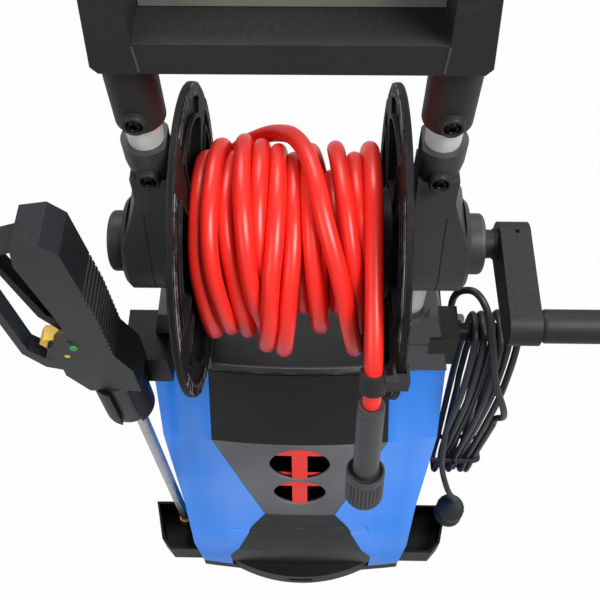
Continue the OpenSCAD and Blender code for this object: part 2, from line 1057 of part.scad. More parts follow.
module cap_shape() {
  xcyl(cap_r, hub_out, cap_out - 2, 0, reel_z);
  translate([cap_out - 2, 0, reel_z])
    rotate([0, 90, 0])
      cylinder(r1 = cap_r, r2 = cap_r - 2, h = 2);
}

module hub_caps() {
  color(black) {
    // the left one is closed
    mirror([1, 0, 0])
      difference() {
        cap_shape();
        xcyl(axle_r + 2, 0, cap_out - 4, 0, reel_z);
      }
    difference() {
      cap_shape();
      xcyl(axle_r + 0.5, 0, far, 0, reel_z);
    }
  }
}

module frame_screws() {
  color(steel)
    at_frame_screws()
      screw(screw_head_r, screw_shank_r, collar_r - 2);
}

// ---- handle ----

handle_top = frame_z + handle_h;
corner = 4;
boss_r = 7;
arm_lean = 9;

module handle_outline(t) {
  polygon([
    [frame_half - corner - t * 0.4, frame_z + t],
    [frame_half - t, frame_z + corner + 1],
    [frame_half - arm_lean - t, handle_top - 18],
    [frame_half - arm_lean - 12, handle_top - t],
    [-frame_half + arm_lean + 12, handle_top - t],
    [-frame_half + arm_lean + t, handle_top - 18],
    [-frame_half + t, frame_z + corner + 1],
    [-frame_half + corner + t * 0.4, frame_z + t]
  ]);
}

grip_z = handle_top - grip_r;
window_top = handle_top - 2 * grip_r - 2;

// The opening of the frame, grown by t
module handle_window(t) {
  polygon([
    [frame_half - arm_w + t, frame_z + bar_h - t],
    [frame_half - arm_w - 2 + t, window_top + t],
    [-frame_half + arm_w + 2 - t, window_top + t],
    [-frame_half + arm_w - t, frame_z + bar_h - t]
  ]);
}

shell_t = 3.5;

module handle_frame() {
  color(charcoal)
    difference() {
      union() {
        difference() {
          front_view(-frame_fwd, frame_rear)
            difference() {
              handle_outline(0);
              handle_window(0);
            }
          // hollow, open to the rear
          front_view(-frame_fwd + shell_t, frame_rear + e)
            difference() {
              handle_outline(shell_t);
              handle_window(shell_t);
              translate([-far, grip_z - grip_r - 2 * shell_t])
                square([2 * far, 4 * grip_r]);
            }
        }
        for (side = [-1, 1])
          zcyl(sleeve_r, sleeve_z, frame_z + 20, side * tube_x, 0);
        // screw bosses on the sleeves
        for (side = [-1, 1])
          ycyl(boss_r, -sleeve_r - 1, 0, side * tube_x, sleeve_screw_z);
      }
      for (side = [-1, 1])
        zcyl(tube_r + tube_fit, 0, upper_tube_top, side * tube_x, 0);
      screw_holes();
      // the grip's bar is round between the arms
      difference() {
        box(
          [-frame_half + arm_w + 2, -far, window_top - e],
          [frame_half - arm_w - 2, far, far * 4]
        );
        xcyl(grip_r - 4, -far, far, 0, grip_z);
      }
    }
}

panel_y = 6;

module handle_panel() {
  color(olive)
    front_view(panel_y, panel_y + 3)
      polygon([
        [frame_half - arm_w - seam, frame_z + bar_h + seam],
        [frame_half - arm_w - 1.2, frame_z + bar_h + 34],
        [-frame_half + arm_w + 1.2, frame_z + bar_h + 34],
        [-frame_half + arm_w + seam, frame_z + bar_h + seam]
      ]);
}

grip_end = 4;

module handle_grip() {
  color(rubber)
    difference() {
      xcyl(grip_r, -frame_half + arm_w + 2 + grip_end, frame_half - arm_w - 2 - grip_end, 0, grip_z);
      xcyl(grip_r - 4, -far, far, 0, grip_z);
    }
}

// ---- reel ----

web_out = flange_r - rim_depth;
window_in = 50;
window_out = web_out - 18;
flange_hub_r = 26;
spoke_half = 9.5; // half the angle between two windows
ridge_h = 1.6;
ridge_w = 2.6;
pan_t = rim_t - 0.4;
pan_floor = 1.4;
recess_floor = 2.6;
window_turn = -7.5;

// A stretch of a flange between two radii, as wide as a window and grown by t
module flange_sector(r_in, r_out, t) {
  half = 180 / flange_windows - spoke_half;
  intersection() {
    difference() {
      circle(r = r_out, $fn = 128);
      circle(r = r_in, $fn = 128);
    }
    polygon([
      [-t * 1.2, 0],
      [2 * flange_r * cos(half) - t * 1.2, 2 * flange_r * sin(half) + t],
      [2 * flange_r * cos(half) - t * 1.2, -2 * flange_r * sin(half) - t]
    ]);
  }
}

// One window of a flange, grown by t
module flange_window(t) {
  flange_sector(window_in - t, window_out + t, t);
}

module at_flange_windows(x) {
  for (i = [0 : flange_windows - 1])
    rotate([360 / flange_windows * i + window_turn, 0, 0])
      translate([x, 0, 0])
        rotate([90, 0, 90])
          children();
}

// A flange that faces +X, with its inner face at x = 0
module flange() {
  difference() {
    union() {
      rotate([0, 90, 0])
        rotate_extrude($fn = 160)
          polygon([
            [axle_r, 0], [flange_r - 1, 0], [flange_r, 1],
            [flange_r, rim_t - 1], [flange_r - 1, rim_t], [web_out, rim_t],
            [web_out - 2, web_t], [flange_hub_r + 2, web_t],
            [flange_hub_r, rim_t], [axle_r, rim_t]
          ]);
      // pans of the windows, with raised edges on the inner face
      at_flange_windows(0)
        linear_extrude(pan_t)
          flange_sector(window_in - ridge_w, web_out + 1, ridge_w);
      at_flange_windows(-ridge_h)
        linear_extrude(ridge_h + 1)
          flange_window(ridge_w);
    }
    at_flange_windows(-ridge_h - e)
      linear_extrude(pan_t + e + ridge_h - pan_floor)
        flange_window(0);
    // shallow recess between each window and the rim
    at_flange_windows(-e)
      linear_extrude(pan_t + e - recess_floor)
        flange_sector(window_out + ridge_w + 0.6, web_out - 2, 0);
  }
}

module flange_right() {
  color(black)
    translate([flange_in_r, 0, reel_z])
      flange();
}

module flange_left() {
  color(black)
    translate([flange_in_l, 0, reel_z])
      mirror([1, 0, 0])
        flange();
}

module reel_drum() {
  color(black)
    difference() {
      xcyl(drum_r, flange_in_l, flange_in_r, 0, reel_z);
      difference() {
        xcyl(drum_r - wall, flange_in_l + 2 * wall, flange_in_r - 2 * wall, 0, reel_z);
        xcyl(axle_r + 2 * wall, -far, far, 0, reel_z);
      }
      xcyl(axle_r, -far, far, 0, reel_z);
    }
}

module reel_axle() {
  color(steel)
    xcyl(axle_r, -cap_out + 6, crank_x + crank_t - 4, 0, reel_z);
}

// ---- crank ----

collar_tube_r = 11.5;
spindle_r = 4;
spindle_head_r = 7;
knob_x = crank_x + crank_t + 0.6; // the crank points forward at rest

module crank_arm() {
  color(charcoal)
    difference() {
      union() {
        difference() {
          translate([crank_x, 0, reel_z])
            rotate([180, 0, 0])
              rotate([90, 0, 90])
                linear_extrude(crank_t)
                  link(crank_r, crank_end_r, crank_len);
          // hollow between the two bosses, open to the outside
          translate([crank_x + 4, 0, reel_z])
            rotate([180, 0, 0])
              rotate([90, 0, 90])
                linear_extrude(crank_t)
                  difference() {
                    link(crank_r - 3, crank_end_r - 3, crank_len);
                    circle(r = axle_r + 3);
                    translate([crank_len, 0])
                      circle(r = spindle_r + 4);
                  }
        }
        // collar with its two end ribs
        xcyl(collar_tube_r, cap_out + 0.6, crank_x + e, 0, reel_z);
        xcyl(collar_tube_r + 1.4, cap_out + 0.6, cap_out + 2.6, 0, reel_z);
        xcyl(collar_tube_r + 1, crank_x - 3, crank_x - 1, 0, reel_z);
        // spindle of the knob, with its head
        xcyl(spindle_r, crank_x + 2, knob_x + knob_len + 0.6, -crank_len, reel_z);
        xcyl(
          spindle_head_r, knob_x + knob_len + 0.6, knob_x + knob_len + 3.6,
          -crank_len, reel_z
        );
      }
      xcyl(axle_r, 0, crank_x + crank_t - 4, 0, reel_z);
      // set-screw hole over the axle
      zcyl(2, reel_z + axle_r, reel_z + far, crank_x + 13, 0);
    }
}

module crank_knob() {
  color(black)
    translate([knob_x, -crank_len, reel_z])
      rotate([0, 90, 0])
        difference() {
          union() {
            cylinder(r1 = knob_r - 2, r2 = knob_r, h = 4);
            translate([0, 0, 4])
              cylinder(r = knob_r, h = knob_len - 10);
            translate([0, 0, knob_len - 6])
              cylinder(r1 = knob_r, r2 = knob_r - 3, h = 6);
          }
          translate([0, 0, -e])
            cylinder(r = spindle_r + run_fit, h = knob_len + 2 * e);
        }
}

// ---- hose ----

hose_r = hose_d / 2;
core_r = coil_r - hose_r - 0.3;
tail_x = flange_in_r - hose_r - 10; // the free end runs down beside the right flange
coil_right = tail_x - hose_d - 0.8;
coil_left = flange_in_l + hose_r + 2;
loop_rings = 24;
coil_step = 360 / loop_rings;
climb_rings = 6;
// whole rings of the outer layer, which winds from right to left
layer_rings = floor((coil_right - coil_left) / coil_pitch * loop_rings) - climb_rings;
cross_rings = 8;
end_rings = 6;
coil_rise = hose_d + 1;
// The last turn crosses back over the layer: its place over the top, and low at the front
top_x = 12;
front_x = 42;
arch = 2;
// So that the layer ends low at the front
coil_start = layer_rings * coil_step - 60;
layer_end_x = coil_right - (layer_rings + climb_rings) * coil_pitch / loop_rings;

function mix(a, b, t) = a + (b - a) * t;
function coil_x(i) =
  i <= layer_rings + climb_rings ? coil_right - i * coil_pitch / loop_rings :
  i <= layer_rings + climb_rings + cross_rings
    ? mix(layer_end_x, top_x, (i - layer_rings - climb_rings) / cross_rings) :
  i <= layer_rings + climb_rings + 2 * cross_rings
    ? mix(top_x, front_x, (i - layer_rings - climb_rings - cross_rings) / cross_rings) :
  front_x;
function coil_radius(i) =
  i <= layer_rings ? coil_r :
  i <= layer_rings + climb_rings ? mix(coil_r, coil_r + coil_rise, (i - layer_rings) / climb_rings) :
  coil_r + coil_rise + arch * pow(sin(180 * min(1, (i - layer_rings - climb_rings) / (2 * cross_rings))), 2);
// The angle falls, counted from the front (-Y) upwards: over the top, down the front, and under
function coil_angle(i) = coil_start - i * coil_step;
function coil_point(i) =
  [coil_x(i), -coil_radius(i) * cos(coil_angle(i)), reel_z + coil_radius(i) * sin(coil_angle(i))];
coil_rings = layer_rings + climb_rings + 2 * cross_rings + end_rings;
coil_run = [for (i = [0 : coil_rings]) coil_point(i)];
coil_path = concat(
  [coil_run[0] - hose_d * unit(coil_run[1] - coil_run[0])],
  coil_run,
  [coil_run[coil_rings] + hose_d * unit(coil_run[coil_rings] - coil_run[coil_rings - 1])]
);

module hose_coil() {
  echo(coil_gap = least_gap(coil_path, 12) - hose_d);
  color(red)
    swept(coil_path, hose_r, 6);
}

module hose_core() {
  color(red)
    difference() {
      xcyl(core_r, flange_in_l + 3, flange_in_r - 3, 0, reel_z);
      xcyl(drum_r + 0.3, -far, far, 0, reel_z);
    }
}

// The free end of the hose: over the top of the reel, down the front and into the ferrule
ferrule_at = [tail_x, -137, 632];
tail_route = [
  [tail_x, 37, 576], [tail_x, 64, 603], [tail_x, 74, 640], [tail_x, 64, 677],
  [tail_x, 37, 704], [tail_x, 0, 714], [tail_x, -33, 707], [tail_x, -67, 694],
  [tail_x, -96, 681], [tail_x, -117, 666], [tail_x, -130, 649], ferrule_at
];

module hose_tail() {
  color(red)
    swept(route(tail_route, 2), hose_r, 8);
}

// Puts children at the end of the hose, with -Z along it
module at_hose_end() {
  translate(ferrule_at)
    rotate([-hose_lean, 0, 0])
      children();
}

neck_len = 14;
nut_wall_r = ferrule_r - 2.5;

module hose_ferrule() {
  color(charcoal)
    at_hose_end() {
      translate([0, 0, -ferrule_len])
        cylinder(r = ferrule_r, h = ferrule_len);
      // neck that the nut turns on
      translate([0, 0, -ferrule_len - neck_len])
        cylinder(r = nut_wall_r, h = neck_len + e);
      translate([0, 0, -ferrule_len - neck_len])
        cylinder(r = nut_wall_r + 2, h = 3);
    }
}

module hose_nut() {
  top = -ferrule_len - 0.5;
  color(black)
    at_hose_end()
      difference() {
        translate([0, 0, top - nut_len])
          cylinder(r = nut_r, h = nut_len);
        translate([0, 0, top - nut_len - e])
          cylinder(r = nut_bore_r, h = nut_bore_len + e);
        translate([0, 0, top - nut_len + nut_bore_len - e])
          cylinder(r = nut_wall_r + 2.8, h = nut_len - nut_bore_len - neck_len + 8);
        translate([0, 0, top - nut_len])
          cylinder(r = nut_wall_r + run_fit, h = nut_len + e);
        translate([0, 0, top - 4])
          cylinder(r1 = nut_wall_r, r2 = nut_r - 1.5, h = 4 + e);
      }
}

clip_h = 16;
clip_wall = 2.4;
clip_z = reel_z + 12;
clip_y = -128;
clip_lean = 30;
clip_gap = 0.6;

module hose_clip() {
  rim_x0 = flange_in_r - clip_gap;
  rim_x1 = flange_in_r + rim_t + clip_gap;
  color(rubber)
    difference() {
      union() {
        translate([tail_x, clip_y, clip_z])
          rotate([-clip_lean, 0, 0])
            translate([0, 0, -clip_h / 2])
              cylinder(r = hose_r + clip_gap + clip_wall, h = clip_h);
        // saddle over the rim of the flange
        box(
          [rim_x0 - clip_wall, -flange_r - clip_gap - clip_wall - 4, clip_z - clip_h / 2],
          [rim_x1 + clip_wall, -flange_r + rim_depth - 1.5, clip_z + clip_h / 2]
        );
        box(
          [tail_x + hose_r + 1, -flange_r - clip_gap - clip_wall - 4, clip_z - clip_h / 2],
          [rim_x0, -flange_r - 2, clip_z + clip_h / 2]
        );
      }
      translate([tail_x, clip_y, clip_z])
        rotate([-clip_lean, 0, 0])
          translate([0, 0, -clip_h])
            cylinder(r = hose_r + clip_gap, h = 2 * clip_h);
      // the rim runs through this slot, which is open to the rear
      box([rim_x0, -flange_r - clip_gap, clip_z - clip_h], [rim_x1, 0, clip_z + clip_h]);
    }
}

// ---- gun: it hangs upright, with the lance pointing down ----

nozzle_z = 30;
nozzle_len = 44;
nozzle_r = lance_r + 2.5;
barrel_z0 = gun_z - 78;
barrel_mid = -5; // middle of the barrel, sideways from the lance

// The gun's own frame: the lance runs along Z, the back of the grip faces +X
module gun_frame() {
  translate([-gun_x, -gun_fwd, 0])
    children();
}

// A front-view outline with heights from the shoulder, as thick as t
module gun_view(t) {
  translate([0, t / 2, gun_z])
    rotate([90, 0, 0])
      linear_extrude(t)
        children();
}

trigger_t = 14;
trigger_pin = [-22, 92];
lock_pin = [-30, 66];
pin_r = 2.5;
guard_t = 16;
serrations = 14;
serration_pitch = 7;

module gun_pin(pin, r, t) {
  ycyl(r, -t / 2, t / 2, pin[0], gun_z + pin[1]);
}

module gun_body() {
  color(charcoal)
    gun_frame()
      difference() {
        union() {
          translate([barrel_mid, 0, barrel_z0])
            cylinder(r1 = barrel_r - 5, r2 = barrel_r, h = 8);
          zcyl(barrel_r, barrel_z0 + 8, gun_z + 2, barrel_mid, 0);
          // housing and grip
          gun_view(gun_t)
            polygon([
              [barrel_r + barrel_mid + 5, 0], [barrel_r + barrel_mid + 5, 40],
              [9, 66], [8, 130], [1, 214], [-10, 226], [-30, 222], [-34, 200],
              [-24, 130], [-22, 106], [-38, 84], [-40, 30], [-26, 0]
            ]);
          // guard round the trigger
          gun_view(guard_t)
            difference() {
              polygon([
                [-30, 14], [-60, 26], [-74, 50], [-79, 160], [-67, 202], [-30, 216], [-24, 130]
              ]);
              polygon([
                [-36, 40], [-56, 42], [-67, 56], [-72, 158], [-61, 194], [-33, 203],
                [-23, 130], [-20, 80]
              ]);
            }
          // cheek over the lock
          gun_view(gun_t - 8)
            polygon([[-30, 40], [-46, 52], [-46, 72], [-30, 80]]);
        }
        // room for the trigger and its lock
        gun_view(trigger_t + 1)
          polygon([
            [-22, 50], [-48, 50], [-48, 100], [-24, 160], [-12, 130], [-12, 82]
          ]);
        translate([0, 0, barrel_z0 - e])
          cylinder(r = lance_r, h = 40);
        gun_pin(trigger_pin, pin_r, 2 * gun_t);
        gun_pin(lock_pin, pin_r, 2 * gun_t);
        // ribs across the back of the grip
        for (i = [0 : serrations - 1])
          gun_view(gun_t + 2)
            translate([serration_x(i), 72 + i * serration_pitch])
              circle(r = 1.4, $fn = 16);
      }
}

// The back of the grip, at the height of groove i
function serration_x(i) =
  let (h = 72 + i * serration_pitch)
  h < 130 ? 9 - (h - 66) / 64 : 8 - 7 * (h - 130) / 84;

module gun_trigger() {
  color(black)
    gun_frame()
      union() {
        gun_view(trigger_t)
          polygon([
            [trigger_pin[0] + 6, trigger_pin[1] - 5], [trigger_pin[0] - 8, trigger_pin[1] - 5],
            [trigger_pin[0] - 22, trigger_pin[1] + 20], [trigger_pin[0] - 34, trigger_pin[1] + 88],
            [trigger_pin[0] - 29, trigger_pin[1] + 92], [trigger_pin[0] - 14, trigger_pin[1] + 22],
            [trigger_pin[0] + 6, trigger_pin[1] + 5]
          ]);
        gun_pin(trigger_pin, pin_r - run_fit, gun_t);
      }
}

module trigger_lock() {
  color(yellow)
    gun_frame()
      union() {
        gun_view(trigger_t)
          polygon([
            [lock_pin[0] + 5, lock_pin[1] - 6],
            [lock_pin[0] - 20, lock_pin[1] - 8],
            [lock_pin[0] - 25, lock_pin[1]],
            [lock_pin[0] - 20, lock_pin[1] + 8],
            [lock_pin[0] + 5, lock_pin[1] + 6]
          ]);
        gun_pin(lock_pin, pin_r - run_fit, gun_t);
      }
}

module lance_tube() {
  color(steel)
    gun_frame()
      zcyl(lance_r, nozzle_z + nozzle_len - 10, barrel_z0 + 36);
}

module lance_nozzle() {
  color(brass)
    gun_frame()
      difference() {
        union() {
          translate([0, 0, nozzle_z])
            cylinder(r1 = lance_r, r2 = nozzle_r, h = 8);
          zcyl(nozzle_r, nozzle_z + 8, nozzle_z + nozzle_len);
        }
        zcyl(lance_r + run_fit, nozzle_z + nozzle_len - 11, nozzle_z + nozzle_len + e);
        zcyl(1, nozzle_z - e, nozzle_z + nozzle_len);
      }
}

holster_z0 = gun_z - 66;
holster_arm_z0 = deck_z + 22;

module gun_holster() {
  inner = barrel_r + holster_fit;
  color(charcoal)
    difference() {
      union() {
        gun_frame()
          zcyl(inner + holster_wall, holster_z0, gun_z - 0.3, barrel_mid, 0);
        // arm back to the column
        box(
          [-gun_x - 4, -gun_fwd + barrel_r, holster_arm_z0],
          [-column_half_top + 6, 12, gun_z - 12]
        );
        // rounded back plate behind the gun
        gun_frame()
          translate([barrel_mid + 6, inner, gun_z - 30])
            box([-12, 0, 0], [16, holster_wall, 60]);
      }
      gun_frame()
        zcyl(inner, holster_z0 - e, gun_z + far, barrel_mid, 0);
      mirror([1, 0, 0])
        column_mass(0);
      // open at the front, so that the lance goes in from there
      gun_frame()
        box([-lance_r - 3, -far, holster_z0 - e], [lance_r + 3, 0, gun_z + far]);
    }
}

// ---- power cord ----

hook_z = 486;
hook_y = 4;
hook_r = 9;
hank_x0 = body_half_crease + 6 + cord_d / 2;
hank_len = (hank_loops - 1) * hank_pitch + cord_d;
hook_end = hank_x0 + hank_len + 4;

module cord_hook() {
  color(black)
    difference() {
      union() {
        // upper peg with an upturned end
        xcyl(hook_r, column_half_top + 4, hook_end, hook_y, hook_z);
        box([hook_end - 5, hook_y - hook_r, hook_z], [hook_end, hook_y + hook_r, hook_z + 34]);
        // mounting plate against the column
        box([column_half_top - 2, hook_y - 18, deck_z + 12], [body_half_top + 3, hook_y + 18, hook_z + 18]);
      }
      column_mass(0);
    }
}

gland_y = 96;
gland_z = 330;
gland_x = body_half_crease - 4;

module cord_gland() {
  color(black)
    difference() {
      union() {
        xcyl(cord_d - 0.3, gland_x - 8, gland_x + 2, gland_y, gland_z);
        translate([gland_x + 2, gland_y, gland_z])
          rotate([0, 90, 0])
            cylinder(r1 = cord_d, r2 = cord_d / 2 + 1.5, h = 14);
      }
      xcyl(cord_d / 2, 0, gland_x + 10, gland_y, gland_z);
      body_mass(0, gland_z - 30, gland_z + 30);
    }
}

hank_top = hook_z + hook_r + cord_d / 2 + 1;
hank_foot = 150;
hank_rings = 24;
hank_mid = (hank_top + hank_foot) / 2;
hank_half = (hank_top - hank_foot) / 2;
hank_lean = 14; // how far the foot of the loops hangs forward of their top
waist_z = 205;
waist_w = 13;
foot_w = 17;
crown_w = 30;

// Half depth of the loops at a height: widest over the hook, drawn in at the waist
function hank_w(z) =
  z > waist_z ? mix(waist_w, crown_w, min(1, (z - waist_z) / 200)) :
  mix(waist_w, foot_w, (waist_z - z) / (waist_z - hank_foot));
function hank_point(i) =
  let (
    a = 180 + 360 * i / hank_rings,
    z = hank_mid + hank_half * sin(a),
    y = hook_y - hank_lean * (1 - sin(a)) / 2 + sign(cos(a)) * sqrt(abs(cos(a))) * hank_w(z)
  )
  [hank_x0 + hank_pitch * (hank_loops - i / hank_rings), y, z];
hank_total = hank_loops * hank_rings;
hank_run = [for (i = [0 : hank_total]) hank_point(i)];
hank_start = hank_run[0] + [0, 0, cord_d];
hank_end = hank_run[hank_total] - [0, 0, cord_d];
hank_path = concat([hank_start], hank_run, [hank_end]);

module cord_hank() {
  echo(hank_gap = least_gap(hank_path, 12) - cord_d);
  color(rubber)
    swept(hank_path, cord_d / 2, 6);
}

// From the gland, up beside the column, over in an arch and down in front of the stored loops
lead_route = [
  [168, 96, 330], [178, 96, 332], [185, 94, 348], [184, 86, 390], [172, 66, 435],
  [157, 46, 470], [150, 34, 502], [154, 26, 526], [164, 17, 536], [174, 2, 528],
  [182, -18, 500], [193, -34, 450], [207, -41, 410], [215, -36, 374],
  hank_start + [0, 0, 2 * cord_d], hank_start
];

module cord_lead() {
  color(rubber)
    swept(route(lead_route, 3), cord_d / 2, 8);
}

plug_at = [194, -58, 98];
plug_top = 46;
tail_end = plug_at + [0, 0, plug_top];
cord_tail_route = [
  hank_end,
  hank_end - [0, 0, 2 * cord_d],
  [166, -36, 270], [171, -42, 225], [182, -54, 186],
  tail_end + [0, 0, 2 * cord_d],
  tail_end
];

module cord_tail() {
  color(rubber)
    swept(route(cord_tail_route, 2), cord_d / 2, 8);
}

module cord_plug() {
  color(charcoal)
    translate(plug_at) {
      cylinder(r = 18, h = 30);
      translate([0, 0, 30])
        cylinder(r1 = 18, r2 = 6, h = plug_top - 30);
      for (dx = [-9.5, 9.5])
        translate([dx, 0, -18])
          cylinder(r = 2.4, h = 19);
    }
}

// ---- motor and pump ----

plate_z = 158;
plate_tilt = 9;
plate_r = 30;
piston_r = 6;
piston_ring = 21;
piston_foot = 88;
piston_top = plate_z - 4 - plate_r * sin(plate_tilt) - 1;

module pistons(r) {
  for (i = [0 : 2])
    translate([0, motor_y, 0])
      rotate([0, 0, 120 * i + 30])
        zcyl(r, piston_foot, piston_top, piston_ring, 0);
}

module pump_pistons() {
  color(steel)
    pistons(piston_r);
}

module motor_casing() {
  color(charcoal)
    translate([0, motor_y, motor_z])
      difference() {
        cylinder(r = motor_r, h = motor_h);
        translate([0, 0, wall])
          cylinder(r = motor_r - wall, h = motor_h - 2 * wall);
        translate([0, 0, -e])
          cylinder(r = shaft_r + run_fit, h = motor_h + 2 * e);
        for (i = [0 : 7])
          rotate([0, 0, 45 * i])
            translate([motor_r * 0.6, 0, motor_h - 2 * wall])
              cylinder(r = 6, h = 3 * wall);
      }
}

fan_z = motor_z + motor_h + 4;

module motor_rotor() {
  color(steel)
    translate([0, motor_y, 0]) {
      zcyl(shaft_r, plate_z, fan_z + 16);
      // tilted plate that drives the pistons
      intersection() {
        translate([0, 0, plate_z])
          rotate([0, plate_tilt, 0])
            cylinder(r = plate_r, h = 8, center = true);
        zcyl(plate_r, 0, far);
      }
      translate([0, 0, motor_z + 24])
        cylinder(r = motor_r - 20, h = motor_h - 48);
      // cooling fan
      translate([0, 0, fan_z])
        cylinder(r = motor_r - 4, h = 2);
      for (i = [0 : 7])
        rotate([0, 0, 45 * i])
          translate([14, -1, fan_z + 1])
            cube([motor_r - 20, 2, 12]);
    }
}

module pump_body() {
  color(steel)
    translate([0, motor_y, pump_body_z])
      difference() {
        cylinder(r = pump_r, h = motor_z - pump_body_z);
        translate([0, 0, 12])
          cylinder(r = pump_r - 6, h = motor_z - pump_body_z - 18);
        translate([0, 0, 20])
          cylinder(r = shaft_r + run_fit, h = motor_z);
        translate([0, -motor_y, -pump_body_z])
          pistons(piston_r + run_fit);
      }
}

inlet_x = 34;
inlet_z = 128;
feed_r = 6;
feed_port_y = hub_r + 6;
port_back = motor_y + pump_r + 22;

module pump_head() {
  color(brass)
    difference() {
      union() {
        zcyl(pump_r - 2, pump_z, pump_body_z, 0, motor_y);
        // two ports that turn up behind the pump, over the wheel axle
        for (side = [-1, 1])
          on_side(side) {
            box(
              [inlet_x - 11, motor_y + 20, pump_body_z - 4],
              [inlet_x + 11, port_back, pump_body_z + 6]
            );
            box(
              [inlet_x - 11, port_back - 20, pump_body_z - 4],
              [inlet_x + 11, port_back, inlet_z + 11]
            );
          }
      }
      // the pump's body stands on the middle of the head
      zcyl(pump_r + 0.2, pump_body_z, far, 0, motor_y);
      pistons(piston_r + run_fit);
      // water ways
      for (side = [-1, 1])
        ycyl(6, port_back - 14, port_back + e, side * inlet_x, inlet_z);
    }
}

module inlet_fitting() {
  color(brass)
    difference() {
      union() {
        ycyl(9, port_back, body_back, inlet_x, inlet_z);
        ycyl(inlet_r + 1.6, body_back - wall, body_back + 4, inlet_x, inlet_z);
        ycyl(inlet_r, body_back + 4, body_back + 4 + inlet_len, inlet_x, inlet_z);
      }
      ycyl(6, port_back - e, far, inlet_x, inlet_z);
    }
}

// The pipe from the pump to the reel's left bearing, clipped to the rear wall all the way
feed_route = [
  [-34, 126, 128], [-34, 144, 128], [-36, 160, 136], [-50, 165, 180], [-74, 165, 260],
  [-94, 164, 350], [-102, 163, 420], [-105, 157, 470], [-108, 130, 540], [-110, 98, 605],
  [-110, 76, 631], [-hub_mid, 60, 640], [-hub_mid, feed_port_y, 640]
];

module feed_hose() {
  color(rubber)
    swept(route(feed_route, 3), feed_r, 8);
}

switch_w = 34;
switch_h = 48;
switch_z = 385;

module switch_housing() {
  color(charcoal)
    difference() {
      union() {
        box(
          [-switch_w / 2, body_back - 40, switch_z - switch_h / 2],
          [switch_w / 2, body_back + 2, switch_z + switch_h / 2]
        );
        box(
          [-switch_w / 2 - 4, body_back + seam, switch_z - switch_h / 2 - 4],
          [switch_w / 2 + 4, body_back + 3, switch_z + switch_h / 2 + 4]
        );
      }
      box(
        [-switch_w / 2 + 5, body_back - 16, switch_z - switch_h / 2 + 7],
        [switch_w / 2 - 5, body_back + 4, switch_z + switch_h / 2 - 7]
      );
      xcyl(rocker_pin_r + run_fit, -switch_w / 2 + 2, switch_w / 2 - 2, body_back - 5, switch_z);
    }
}

rocker_pin_r = 2;

module switch_rocker() {
  color(red)
    translate([0, body_back - 5, switch_z])
      rotate([-rocker_tilt, 0, 0]) {
        side_view(-switch_w / 2 + 5.5, switch_w / 2 - 5.5)
          polygon([
            [-4, -6], [0, -rocker_half], [7, -rocker_half], [5.5, 0], [7, rocker_half],
            [0, rocker_half], [-4, 6]
          ]);
        xcyl(rocker_pin_r, -switch_w / 2 + 2.5, switch_w / 2 - 2.5);
      }
}

rocker_half = switch_h / 2 - 9;
rocker_tilt = 7; // off: the lower end stands out

// ---- the part ----

base_tray();
front_feet();
wheel_left();
wheel_right();
tyre_left();
tyre_right();
wheel_axle();
wheel_caps();
front_cover();
vee_panel();
window_insert();
nose_panel();
fairing_left();
fairing_right();
rear_cover();
top_deck();
column_left();
column_right();
frame_tubes();
bracket_left();
bracket_right();
reel_bushes();
hub_caps();
handle_frame();
handle_panel();
handle_grip();
frame_screws();
reel_drum();
flange_left();
flange_right();
reel_axle();
crank_arm();
crank_knob();
hose_core();
hose_coil();
hose_tail();
hose_clip();
hose_ferrule();
hose_nut();
gun_body();
gun_trigger();
trigger_lock();
lance_tube();
lance_nozzle();
gun_holster();
cord_hook();
cord_gland();
cord_lead();
cord_hank();
cord_tail();
cord_plug();
motor_casing();
motor_rotor();
pump_body();
pump_pistons();
pump_head();
inlet_fitting();
feed_hose();
switch_housing();
switch_rocker();
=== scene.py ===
import bmesh
import bpy
import json
from math import atan2, cos, degrees, pi, radians, sin, sqrt
from mathutils import Matrix, Vector

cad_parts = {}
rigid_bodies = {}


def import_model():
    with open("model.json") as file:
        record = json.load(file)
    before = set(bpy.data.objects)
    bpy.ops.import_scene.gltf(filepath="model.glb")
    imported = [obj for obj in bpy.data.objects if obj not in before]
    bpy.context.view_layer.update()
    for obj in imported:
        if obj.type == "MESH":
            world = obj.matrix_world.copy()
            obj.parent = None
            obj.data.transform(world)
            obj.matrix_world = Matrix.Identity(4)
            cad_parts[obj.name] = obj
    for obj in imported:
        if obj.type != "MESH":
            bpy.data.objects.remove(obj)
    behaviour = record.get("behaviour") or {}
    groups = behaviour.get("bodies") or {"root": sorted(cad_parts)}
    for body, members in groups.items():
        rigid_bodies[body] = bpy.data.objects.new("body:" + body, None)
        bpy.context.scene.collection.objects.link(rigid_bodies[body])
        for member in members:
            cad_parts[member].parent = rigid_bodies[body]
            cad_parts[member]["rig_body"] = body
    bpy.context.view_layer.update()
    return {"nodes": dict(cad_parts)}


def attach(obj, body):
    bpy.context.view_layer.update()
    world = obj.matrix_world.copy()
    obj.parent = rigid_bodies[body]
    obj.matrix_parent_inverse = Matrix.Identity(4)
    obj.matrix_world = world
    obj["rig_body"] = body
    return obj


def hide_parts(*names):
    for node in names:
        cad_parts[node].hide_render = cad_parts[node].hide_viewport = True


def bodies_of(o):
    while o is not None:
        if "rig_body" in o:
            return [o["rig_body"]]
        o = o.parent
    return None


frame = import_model()
NODES = frame["nodes"]

MM = 0.001


def mm(x, y, z):
    """A point given in millimetres."""
    return Vector((x, y, z)) * MM


# ---- camera, floor and light ----

WHITE_SHARE = 0.97  # how much of the seen floor is plain white; the rest keeps the shadow
FLOOR_HALF = 12  # metres
FLOOR_GREY = 0.5
SKY_STRENGTH = 0.38


